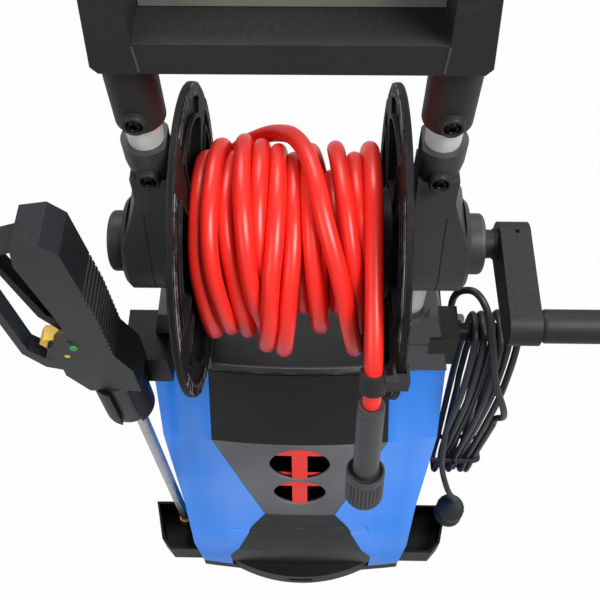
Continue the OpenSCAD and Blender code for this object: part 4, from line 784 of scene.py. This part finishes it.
# Sideways place and radius of the loose outer turns, every 15 degrees, in mm. The turns were
# laid one by one, then moved apart by calculation until they rest on each other.
WINDING = [
    (52, 51.2), (52, 54.3), (51.5, 57.3), (50.2, 60.1), (48.4, 62.3), (46.7, 64.1), (45.4, 65.5),
    (45, 65.8), (45, 65.7), (45.4, 65.5), (46.6, 65.1), (48.3, 64.4), (51.2, 64.5), (54.1, 64.2),
    (57.2, 63.9), (59.4, 64.1), (60.3, 64.5), (59.8, 65.1), (58.1, 65.4), (56.1, 65.8), (53.7, 66.2),
    (51, 66.6), (48.2, 67.1), (45.4, 67.8), (42.7, 68.6), (40.2, 69.5), (37.7, 70.5), (35.4, 71.5),
    (33.2, 72.6), (31.3, 73.4), (30.3, 73.9), (30.6, 74.2), (31.9, 74.2), (33.8, 74.1), (36, 74),
    (38.6, 74.1), (41.2, 73.9), (43.9, 73.4), (46.5, 72.4), (48, 71.6), (48.2, 71), (47.4, 70.8),
    (45.6, 71), (43.5, 71.3), (41, 71.5), (38.2, 71.5), (35.1, 71.4), (31.8, 71.1), (28.5, 70.8),
    (25.2, 70.5), (22.1, 70.4), (19, 70.4), (16.1, 70.6), (13.3, 71.2), (11.3, 71.9), (10.4, 72.3),
    (10.4, 72.5), (10.8, 72.5), (11.3, 72.4), (12, 72.2), (13.3, 71.7), (14.9, 70.9), (16.7, 69.7),
    (18.3, 68.4), (19.6, 67.4), (20, 67.1), (19.3, 67.1), (18, 67.3), (16.4, 67.5), (14.6, 67.7),
    (12.6, 67.8), (10.7, 67.8), (8.7, 67.6), (6.7, 67.3), (4.6, 66.8), (2.6, 66.3), (0.6, 65.7),
    (-1.3, 65.3), (-2.3, 64.9), (-2.2, 64.7), (-1.6, 64.7), (-1, 64.9), (-0.8, 65.7), (-0.8, 67.1),
    (-1.4, 69.5), (-2.7, 72.7), (-4.2, 75.7), (-5.6, 78.7), (-7.2, 82.3), (-8.5, 85.2), (-9.4, 85.7),
    (-10.2, 84.1), (-10.8, 81.9), (-11.4, 79.7), (-11.8, 77.5), (-12.1, 75.7), (-12.2, 74.1),
    (-12.2, 72.8), (-12.3, 71.8), (-12.9, 71.4), (-13.8, 71.3), (-14.3, 71.4), (-14.4, 71.5),
    (-14, 71.7), (-13.4, 71.7), (-12.8, 71.9), (-12.7, 72.5), (-13.2, 73.9), (-14.3, 76.1),
    (-16.2, 78.3), (-17.7, 80), (-19, 81.7), (-20.9, 82), (-22.4, 82.3), (-23.4, 81.9), (-24, 81),
    (-24.6, 79.8), (-25.1, 78.9), (-25.5, 78.6), (-25.4, 78.8), (-25, 79.1), (-24.4, 79), (-24.5, 78.2),
    (-25.6, 76.7), (-26.9, 75.3), (-27.6, 74.5), (-27.6, 75.1), (-27.2, 75.5), (-26.5, 75.5),
    (-26.3, 74.4), (-26.4, 72.3), (-26.4, 70.1), (-25.5, 68.1), (-22.6, 66.2), (-18.3, 65.1),
    (-13.6, 64.8), (-10.7, 65.2), (-10.4, 65.8), (-11.5, 66), (-13.9, 65.9), (-17.1, 65.5),
    (-20.5, 65.1), (-24, 64.9), (-27.4, 65.2), (-30.7, 66.6), (-33.8, 69.1), (-36.8, 72.2),
    (-39.1, 74.7), (-40.6, 76.3), (-41, 77.6), (-40.9, 78.8), (-40.5, 79.1), (-39.8, 79.1),
    (-39.1, 79.4), (-38, 79.6), (-36.3, 79.6), (-34.4, 78.5), (-32.2, 76.1), (-29.6, 73), (-26.3, 70),
    (-24, 68.6), (-24, 68.3), (-25.6, 68.2), (-28.4, 68), (-31.5, 67.8), (-34.7, 67.5), (-37.9, 67.1),
    (-41.1, 66.5), (-44.3, 65.6), (-46.9, 64.8), (-48.1, 64.4), (-48.1, 64.3), (-48.4, 65),
    (-48.9, 65.5), (-49.2, 65.8), (-49.6, 65.9), (-50.1, 66), (-50.6, 66), (-51.1, 66), (-50.4, 66),
    (-48.2, 66), (-44.9, 66.1), (-42.1, 66.6), (-39.8, 67.5), (-37.7, 69.6), (-37.5, 70.7),
    (-39.1, 70.6), (-41.9, 70.5), (-44.9, 70.8), (-47.9, 71.3), (-50.7, 72.1), (-53.2, 73), (-55.2, 74),
    (-56.6, 74.5), (-57.4, 74.5), (-57.8, 74), (-58.2, 74.6), (-58.4, 75.5), (-58.8, 75.6),
    (-59.4, 75.6), (-60, 75.5), (-60.6, 75.5), (-61.1, 75.5), (-61.4, 75.5), (-60.8, 75.1),
    (-58.8, 74.1), (-55.7, 72.4), (-53.1, 70.8), (-51.4, 69.3), (-51.1, 68.7), (-52.7, 68.6),
    (-55.4, 68.1), (-58.3, 67.7), (-61.2, 67.2), (-63.7, 66.9), (-65.8, 66.5), (-67.5, 66.3),
    (-68.7, 66.1), (-69.6, 66.1), (-70.1, 66), (-70.6, 66), (-70.7, 66), (-70.8, 66), (-70.9, 66),
    (-70.9, 66), (-71, 66), (-71, 65.9), (-71, 65.7), (-71, 65.8), (-70.1, 66.3), (-68.1, 66.7),
    (-66.4, 67.5), (-65.1, 69.1), (-64.6, 70.8), (-65.9, 72.9), (-67.6, 75), (-68.8, 76.9),
    (-69.7, 78.6), (-70.2, 79.9), (-70.6, 80.9), (-70.6, 81.8), (-70, 82.7), (-67.4, 84.4),
    (-60.8, 87.3), (-48.7, 87.9), (-26.8, 88.2), (-12, 86), (-2.8, 86), (5.2, 86.1), (11.8, 86.3),
    (16.9, 86.4), (21.8, 85.7), (28, 84.3), (33.8, 83.2), (38.2, 83.4), (42, 84), (45.2, 84.4),
    (47.3, 84.6), (48.8, 84.3), (50.1, 83.6), (51.7, 82.6), (53.3, 81.3), (55, 79.9), (56.6, 75.8),
]


def on_reel(angle, x, radius):
    a = radians(angle)
    return mm(x, -radius * sin(a), REEL_Z + radius * cos(a))


def winding_points():
    """Out of the drum, along it, then back over it in loose turns to the tail."""
    per_turn = 360 // WINDING_STEP
    inner = round((INNER_END_X + 68) / INNER_PITCH * per_turn)
    first = WINDING_START - inner * WINDING_STEP
    first_x = INNER_END_X - INNER_PITCH * inner / per_turn
    points = [on_reel(first - 32, first_x, 44), on_reel(first - 16, first_x, 48.5)]
    for k in range(inner, 0, -1):
        x = INNER_END_X - INNER_PITCH * k / per_turn
        points.append(on_reel(WINDING_START - k * WINDING_STEP, x, INNER_R))
    for k, (x, radius) in enumerate(WINDING[:-1]):
        points.append(on_reel(WINDING_START + k * WINDING_STEP, x, radius))
    points.append(TAIL_ROUTE[0])
    return curve_points(points, 4)


def make_hose():
    coil = winding_points()
    winding = cord_piece(
        "hose_winding", coil, HOSE_R, "reel", "hose_red", ["hose_core", "hose_coil"], 6
    )
    tail = curve_points(TAIL_ROUTE, 8)
    end = cord_piece("hose_end", tail, HOSE_R, "root", "hose_red", ["hose_tail"], 6)
    return end, tail


hose_end, tail_points = make_hose()

# ---- the power cord ----

CORD_R = 3.5
HANK_TOP, HANK_FOOT, HANK_LOOPS = 499.5, 150, 6
HANK_MID, HANK_HALF = (HANK_TOP + HANK_FOOT) / 2, (HANK_TOP - HANK_FOOT) / 2
PLUG_AT = (194, -58, 98)
TIE_AT, TIE_HALF = (189.6, -8.5, 205), (30.5, 15.5)


def mix(a, b, t):
    return a + (b - a) * t


def hank_width(z):
    """Half depth of the loops: widest over the hook, drawn in at the waist."""
    if z > 205:
        return mix(13, 30, min(1, (z - 205) / 200))
    return mix(13, 17, (205 - z) / 55)


def hank_point(turns):
    """A point of the stored loops. No two loops hang quite alike."""
    a = pi + 2 * pi * turns
    z = HANK_MID + HANK_HALF * sin(a)
    loose = sin(pi * turns / HANK_LOOPS)
    low = max(0, -sin(a)) ** 2 * loose
    width = hank_width(z) * (1 + 0.16 * loose * sin(2.4 * round(turns) + 1))
    swing = 4 * low * sin(3.7 * turns) - 14 * (1 - sin(a)) / 2
    depth = (1 if cos(a) > 0 else -1) * sqrt(abs(cos(a))) * width
    z += 9 * low * (1 + sin(2.1 * turns))
    return mm(165.5 + 8 * (HANK_LOOPS - turns), 4 + swing + depth, z)


def cord_points():
    steps = 44
    hank = [hank_point(i / steps) for i in range(HANK_LOOPS * steps + 1)]
    first, last = hank[0] + mm(0, 0, 7), hank[-1] - mm(0, 0, 7)
    lead = [
        mm(*p) for p in (
            (168, 96, 330), (178, 96, 332), (184, 92, 350), (178, 78, 385), (164, 56, 425),
            (153, 42, 465), (150, 34, 502), (154, 26, 526), (164, 17, 536), (174, 2, 528),
            (182, -18, 500), (193, -34, 450), (207, -41, 410), (215, -36, 374),
        )
    ] + [first + mm(0, 0, 14), first]
    plug_top = mm(PLUG_AT[0], PLUG_AT[1], PLUG_AT[2] + 46)
    end = [last, last - mm(0, 0, 14)] + [
        mm(*p) for p in ((166, -36, 270), (171, -42, 225), (182, -54, 186))
    ] + [plug_top + mm(0, 0, 14), plug_top]
    return curve_points(lead, 6)[:-1] + [first] + hank + curve_points(end, 6)


def make_power_cord():
    points = cord_points()
    cord = cord_piece(
        "power_cord", points, CORD_R, "root", "cord_black", ["cord_lead", "cord_hank", "cord_tail"]
    )
    # plug: a grip with finger ribs, a shoulder, and a sleeve round the cord
    shell = turned("plug_shell", [
        (10, 0), (17, 0), (18, 1.2), (18, 9), (16.6, 10.5), (16.6, 12), (18, 13.5), (18, 28),
        (17, 30.5), (14, 33), (11.5, 38), (8.5, 43), (6.2, 47), (5.8, 50), (5.4, 51), (5.4, 53),
        (4.9, 54), (4.9, 56), (4.5, 57), (4.5, 59), (4.0, 60),
    ], 64, upright(*PLUG_AT), ribs=20, rib_depth=1.1, ribbed=(13.4, 28.1, 17))
    plug = piece("cord_plug_shell", shell, "root", "rubber_black", ["cord_plug"])
    pins = []
    for dx in (-9.5, 9.5):
        profile = [(1.6, -18), (2.2, -17.4), (2.4, -16.4), (2.4, 1)]
        pins.append(turned("pin", profile, 24, upright(PLUG_AT[0] + dx, PLUG_AT[1], PLUG_AT[2])))
    pins = piece("plug_pins", joined("plug_pins", pins), "root", "steel")
    # strain relief where the cord leaves the body
    start = [mm(152, 96, 330), mm(160, 96, 330)] + curve_points(
        [mm(168, 96, 330), mm(178, 96, 332), mm(184, 92, 350), mm(178, 78, 385)], 10
    )[:16]
    smooth = curve_points(start[:3], 6)[:-1] + start[2:]
    radii = []
    travelled = 0
    for i, p in enumerate(smooth):
        travelled += (p - smooth[i - 1]).length / MM if i else 0
        if travelled < 6:
            radii.append(8.2)
        else:
            taper = mix(6.6, 4.1, min(1, (travelled - 6) / 32))
            radii.append(taper - (0.6 if int(travelled / 2.2) % 2 else 0))
    relief_piece = piece("strain_relief", tapered("strain_relief", smooth, radii), "root",
                         "rubber_black", ["cord_gland"])
    tie_loops()


def tie_loops():
    """A soft tie wound twice round the waist of the loops."""
    tie = []
    for height in (0, 5.2):
        loop = []
        for k in range(49):
            a = 2 * pi * k / 48
            x = TIE_AT[0] + TIE_HALF[0] * clamped(1.35 * cos(a)) - 0.4 * height
            y = TIE_AT[1] + TIE_HALF[1] * clamped(1.25 * sin(a))
            loop.append(mm(x, y, TIE_AT[2] + height + 1.2 * sin(2 * a)))
        tie.append(tapered("tie_loop", loop, [1.9] * len(loop), 10))
    ends = [
        mm(*p) for p in (
            (189, -24, 208), (187, -28, 211), (190, -31, 216), (186, -33, 222), (188, -35, 229)
        )
    ]
    tie.append(tapered("tie_end", curve_points(ends, 5), [1.6] * 21, 10))
    piece("cord_tie", joined("cord_tie", tie), "root", "rubber_black")


make_power_cord()


def make_feed_hose():
    """The pressure hose from the pump up to the left hub."""
    route = [
        mm(*p) for p in (
            (-34, 126, 128), (-34, 144, 128), (-36, 160, 136), (-50, 165, 180), (-74, 165, 260),
            (-94, 164, 350), (-102, 163, 420), (-105, 157, 470), (-108, 130, 540),
            (-110, 98, 605), (-110, 76, 631), (-110.25, 60, 640), (-110.25, 44, 640),
        )
    ]
    points = curve_points(route, 6)
    made = cord_piece("feed_line", points, 6, "root", "rubber_black", ["feed_hose"], 5)
    ends = []
    for i, j in ((0, 1), (-1, -2)):
        along = (points[j] - points[i]).normalized()
        spots = [points[i] + along * d * MM for d in (0, 1, 16, 17)]
        ends.append(tapered("crimp", spots, [6.4, 7.6, 7.6, 6.4], 24))
    crimps = piece("feed_line_crimps", joined("feed_line_crimps", ends), "root", "steel")


make_feed_hose()

# ---- hose end: clip, ferrule and nut ----


def make_hose_end():
    sleeve = turned("ferrule_sleeve", [
        (7.2, -96), (9.9, -96), (9.9, -94), (7.9, -92.5), (7.9, -84), (9.4, -82), (10.1, -81),
        (10.4, -79), (10.4, -74), (10.0, -73), (10.0, -68), (10.4, -67), (10.4, -9), (9.9, -8),
        (9.9, -6.5), (10.4, -5.5), (10.4, -1.2), (9.6, 0), (7.0, 0), (7.0, -3),
    ], 64, HOSE_END)
    ferrule = piece(
        "ferrule_sleeve", sleeve, "root", "rubber_black", ["hose_ferrule"], finish="coupling_black"
    )
    top = -82.5
    nut = turned("ribbed_nut", [
        (10.2, top - 38), (12.6, top - 38), (14.2, top - 37.2), (15.6, top - 35), (15.6, top - 8),
        (15.2, top - 7), (15.2, top - 6), (15.6, top - 5), (15.6, top - 1.2), (14.6, top),
        (13.8, top), (12.6, top - 2.4), (9.2, top - 4), (7.97, top - 4.4), (7.97, top - 9),
        (10.6, top - 9.2), (10.6, top - 20), (9.4, top - 21), (9.4, top - 22.4), (10.2, top - 23),
        (9.4, top - 24), (10.2, top - 25.5), (9.4, top - 27), (10.2, top - 28.5), (9.4, top - 30),
        (10.2, top - 31.5), (9.4, top - 33), (10.2, top - 34.5),
    ], 216, HOSE_END, ribs=30, rib_depth=1.2, ribbed=(top - 35.1, top - 7.9, 12), closed=True)
    piece("ribbed_nut", nut, "hose_nut", "nose_black", ["hose_nut"], finish="coupling_black")
    clip = rounded("hose_clip", 0.7, sharp=40)


# ---- reel ----


WINDOWS = 5
WINDOW_PERIOD = 360 / WINDOWS
SECTOR_TURN, SECTOR_HALF = -7.5, 26.2  # the first window's middle, and half its width, in degrees
ARC_STEPS = 22
RIB_COUNT, RIB_MIDDLE, RIB_LONG, RIB_WIDE, RIB_HIGH = 72, 120, 6.2, 1.9, 1.3
SPOKE_MARGIN = 0.8  # degrees at each window's end that stay free of ribs
SLOT_IN, SLOT_OUT = 116.8, 123.2  # the floor of the slots, darker as painted shade, radii in mm
WALL_RADII, WALL_WIDE = (115.6, 123.1), 1.3
SUNK, FLOOR_TOP, WALL_TOP = -0.2, 0.15, 0.45  # heights over the rim's face; the clip clears 0.6
# how far the slot walls and ribs are painted lighter, a painted highlight
SLOT_PAINTED_HIGHLIGHT = 0.5


def arc_bands(r_in, r_out, low, high, place, shift):
    """Five curved bars, one along each window. shift turns them, in degrees."""
    bm = bmesh.new()
    for window_number in range(WINDOWS):
        middle = radians(WINDOW_PERIOD * window_number + shift)
        rows = []
        for k in range(ARC_STEPS + 1):
            a = middle + radians(SECTOR_HALF) * (2 * k / ARC_STEPS - 1)
            rows.append([
                bm.verts.new(mm(r * cos(a), r * sin(a), h))
                for r, h in ((r_in, low), (r_out, low), (r_out, high), (r_in, high))
            ])
        skin(bm, rows)
    bmesh.ops.recalc_face_normals(bm, faces=bm.faces)
    bm.transform(place)
    return from_bmesh("arc_bands", bm)


def rubbed_and_highlight(mesh, share):
    """Sets the wear attribute of a whole mesh to a share from 0 to 1, which paints it lighter as a
    highlight.
    """
    layer = mesh.attributes.new("wear", "FLOAT", "FACE")
    layer.data.foreach_set("value", [share] * len(mesh.polygons))
    return mesh


def rim_ribs(place, shift):
    """The ribs between the slots: a ring of blocks without those on the spokes."""
    ring = blocks_round(
        "rim_ribs", "frame_black", RIB_COUNT, RIB_MIDDLE, RIB_LONG, RIB_WIDE, RIB_HIGH, None
    )
    bm = bmesh.new()
    bm.from_mesh(ring)
    bpy.data.meshes.remove(ring)
    bm.verts.ensure_lookup_table()
    gone = []
    for first in range(0, len(bm.verts), 8):
        block = [bm.verts[first + k] for k in range(8)]
        x, y = sum(v.co.x for v in block), sum(v.co.y for v in block)
        off = (degrees(atan2(y, x)) - shift + WINDOW_PERIOD / 2) % WINDOW_PERIOD - WINDOW_PERIOD / 2
        if abs(off) > SECTOR_HALF - SPOKE_MARGIN:
            gone += block
    bmesh.ops.delete(bm, geom=gone, context="VERTS")
    bm.transform(place @ Matrix.Translation(mm(0, 0, SUNK)))
    return from_bmesh("rim_ribs", bm)


def make_flange(side):
    inward = 1 if side == "left" else -1
    # the flange's rounded edges are painted lighter as highlights through flange_black
    rounded("flange_" + side, 0.7, sharp=35, finish="flange_black")
    place = along_x(FLANGE_IN[side], 0, REEL_Z, inward)
    shift = 90 + inward * SECTOR_TURN
    # a row of slots inside the rim's edge: a floor in the darker black as painted shade, and ribs with
    # a wall on either side painted lighter as highlights
    floor = arc_bands(SLOT_IN, SLOT_OUT, SUNK, FLOOR_TOP, place, shift)
    piece("slot_floor_" + side, floor, "reel", "frame_black", weighted=False, finish="body_black")
    walls = [arc_bands(r, r + WALL_WIDE, SUNK, WALL_TOP, place, shift) for r in WALL_RADII]
    # the walls and ribs are painted lighter: a painted highlight
    painted_highlight_detail = rubbed_and_highlight(joined("slot_walls_" + side, walls + [rim_ribs(place, shift)]), SLOT_PAINTED_HIGHLIGHT)
    piece("slot_walls_" + side, painted_highlight_detail, "reel", "frame_black", weighted=False, finish="flange_black")


def make_crank():
    rounded("crank_arm", 0.6, sharp=40)
    rounded("crank_knob", 0.8, sharp=40)
    screw = turned("set_screw", [
        (1.9, -4), (1.9, 0), (1.5, 0.2), (0.95, 0.2), (0.9, -1.5), (0.0001, -1.6),
    ], 18, upright(173, 0, REEL_Z + 17.4))
    piece("set_screw", screw, "reel", "screw_black")


# ---- screws ----


def screw_template():
    """A button-head screw with a six-sided socket. It looks along +Z."""
    bm = bmesh.new()
    head = [
        (2.3, -3), (2.3, 0), (4.7, 0), (5.0, 0.5), (4.85, 1.6), (4.2, 2.7), (3.3, 3.3), (2.6, 3.4),
        (2.35, 3.0),
    ]
    socket = [(2.25, 0.9), (0.4, 0.7)]
    rows = []
    for r, h in head + socket:
        ring = []
        for k in range(24):
            a = 2 * pi * k / 24
            out = r * cos(pi / 6) / cos((a % (pi / 3)) - pi / 6) if (r, h) in socket else r
            ring.append(bm.verts.new(mm(out * cos(a), out * sin(a), h)))
        rows.append(ring)
    skin(bm, rows)
    bmesh.ops.recalc_face_normals(bm, faces=bm.faces)
    mesh = from_bmesh("screw", bm)
    even_shading(mesh, 45)
    return mesh


def make_screws():
    """Four tube screws in hooded bosses, from the front."""
    spots = []
    for x in (-100.5, 100.5):
        spots += [mm(x, -18.2, 740), mm(x, -18.7, 796)]
    heads = copies("tube_screws", "screw_black", screw_template(), spots, (90, 0, 0))
    even_shading(heads, 45)
    piece("tube_screws", heads, "root", "screw_black", ["frame_screws"], weighted=False)
    hood = turned("hood", [
        (5.5, -3), (5.5, 2.4), (5.9, 3.1), (6.6, 3.3), (7.3, 3.0), (7.9, 2.2), (8.3, 0.5), (8.6, -3),
    ], 40, Matrix.Identity(4), closed=True)
    hoods = copies("screw_hoods", "frame_black", hood, spots, (90, 0, 0))
    even_shading(hoods, 50)
    piece("screw_hoods", hoods, "root", "frame_black", weighted=False)


# ---- frame, handle and body ----


def make_frame():
    for side in ("left", "right"):
        rounded("bracket_" + side, 1.2, finish="bearing_black")
        # the columns take the lighter coupling_black as painted light, for faces that catch the light
        rounded("column_" + side, 1.6, finish="coupling_black")
    rounded("hub_caps", 1.1, finish="bearing_black")
    rounded("handle_frame", 1.8, segments=3)
    rounded("handle_panel", 0.5)
    # thin light strips along the arms' inner edges: painted highlights in the lighter coupling_black
    edges = [
        tapered("arm_edge", [mm(side * 89, -24.9, 865.5), mm(side * 88, -24.9, 847)], [0.9, 0.9], 12)
        for side in (-1, 1)
    ]
    piece("arm_edges", joined("arm_edges", edges), "root", "frame_black", finish="coupling_black")
    # grooves every 4 mm along the sleeve
    grip = [(11.9, -82.6), (15.0, -83), (16, -82)]
    for h in range(-76, 77, 4):
        grip += [(16, h - 1.3), (15.3, h - 0.6), (15.3, h + 0.6), (16, h + 1.3)]
    grip += [(16, 82), (15.0, 83), (11.9, 82.6)]
    mesh = turned("grip_sleeve", grip, 72, along_x(0, 0, 956), closed=True)
    piece("grip_sleeve", mesh, "root", "rubber_black", ["handle_grip"])


def deck_front(half):
    """The front edge of the deck, from left to right."""
    source = NODES["top_deck"]
    spots = {}
    for corner in source.data.vertices:
        p = source.matrix_world @ corner.co / MM
        if abs(p.z - 440) < 0.1 and p.y < 0 and abs(p.x) <= half:
            key = round(p.x, 1)
            spots[key] = min(spots.get(key, 0), p.y)
    return [mm(x, spots[x], 440) for x in sorted(spots)]


def make_body():
    # a lighter rounded strip along the deck's front edge: a painted highlight where the lip catches the
    # light
    edge = [p + mm(0, 3.9, -2.6) for p in deck_front(110)]
    lip = tapered("deck_lip", edge, [4.2] * len(edge), 24)
    piece("deck_lip", lip, "root", "body_black", finish="coupling_black")
    for name, width, sharp in (
        ("front_cover", 1.0, 32), ("vee_panel", 0.6, 40), ("window_insert", 0.5, 40),
        ("nose_panel", 0.6, 40), ("fairing_left", 0.9, 32), ("fairing_right", 0.9, 32),
        ("rear_cover", 1.0, 32), ("top_deck", 1.4, 32), ("base_tray", 1.6, 32),
        ("cord_hook", 1.6, 32), ("gun_holster", 0.9, 40), ("switch_housing", 1.0, 32),
        ("switch_rocker", 0.6, 32),
    ):
        rounded(name, width, sharp=sharp)


# ---- wheels ----

TREAD_BLOCKS = 54


def make_wheel(side):
    sign = -1 if side == "left" else 1
    body = "wheel_" + side
    rounded(body, 0.8, sharp=40)
    middle = along_x(sign * 169, 125, 90, sign)
    tyre = turned("tyre", [
        (76.3, -15.2), (78, -16.6), (82, -17), (85, -16.2), (87.3, -14), (88.4, -11), (88.8, -6),
        (88.8, 6), (88.4, 11), (87.3, 14), (85, 16.2), (82, 17), (78, 16.6), (76.3, 15.2),
    ], 120, middle, closed=True)
    meshes = [tyre]
    for shift, offset in ((-9.5, 0), (0, 0.5), (9.5, 0)):
        turn = Matrix.Rotation(2 * pi * offset / TREAD_BLOCKS, 4, "Z")
        meshes.append(blocks_round(
            "tread", "tyre_black", TREAD_BLOCKS, 88.6, 2.6, 7.4, 8.2,
            middle @ Matrix.Translation(mm(0, 0, shift)) @ turn, slant=14 if shift else 0,
        ))
    piece("tyre_tread_" + side, joined("tyre_tread_" + side, meshes), body, "tyre_black",
          ["tyre_" + side], weighted=False)


# ---- gun ----


def make_gun():
    rounded("gun_body", 1.2, sharp=35)
    rounded("gun_trigger", 1.0, sharp=35)
    rounded("trigger_lock", 0.8, sharp=35)
    button = turned("lock_button", [
        (3.4, -1), (3.4, 1.2), (2.8, 1.9), (0.2, 2.1),
    ], 28, Matrix.Translation(mm(-177, -78, 602)) @ Matrix.Rotation(radians(90), 4, "X"))
    piece("lock_button", button, "gun", "button_green")
    nozzle = turned("nozzle_body", [
        (1.0, 30), (6.0, 30), (7.4, 33), (8.5, 38), (8.5, 47), (7.7, 48), (7.7, 50), (8.5, 51),
        (8.5, 69), (8.0, 70.5), (7.6, 74), (6.06, 74), (6.06, 63), (1.0, 63),
    ], 96, upright(-156, -60, 0), ribs=24, rib_depth=0.7, ribbed=(50.9, 69.1, 8.4), closed=True)
    piece("nozzle_body", nozzle, "nozzle", "brass", ["lance_nozzle"])


def dress_cad():
    """The CAD nodes that stay take their finish."""
    for name, made in NODES.items():
        if not made.hide_render:
            for index in range(len(made.data.materials)):
                made.data.materials[index] = FINISHES[SLOTS[name]]


make_hose_end()
make_flange("left")
make_flange("right")
make_crank()
make_screws()
make_frame()
make_body()
make_wheel("left")
make_wheel("right")
make_gun()
dress_cad()
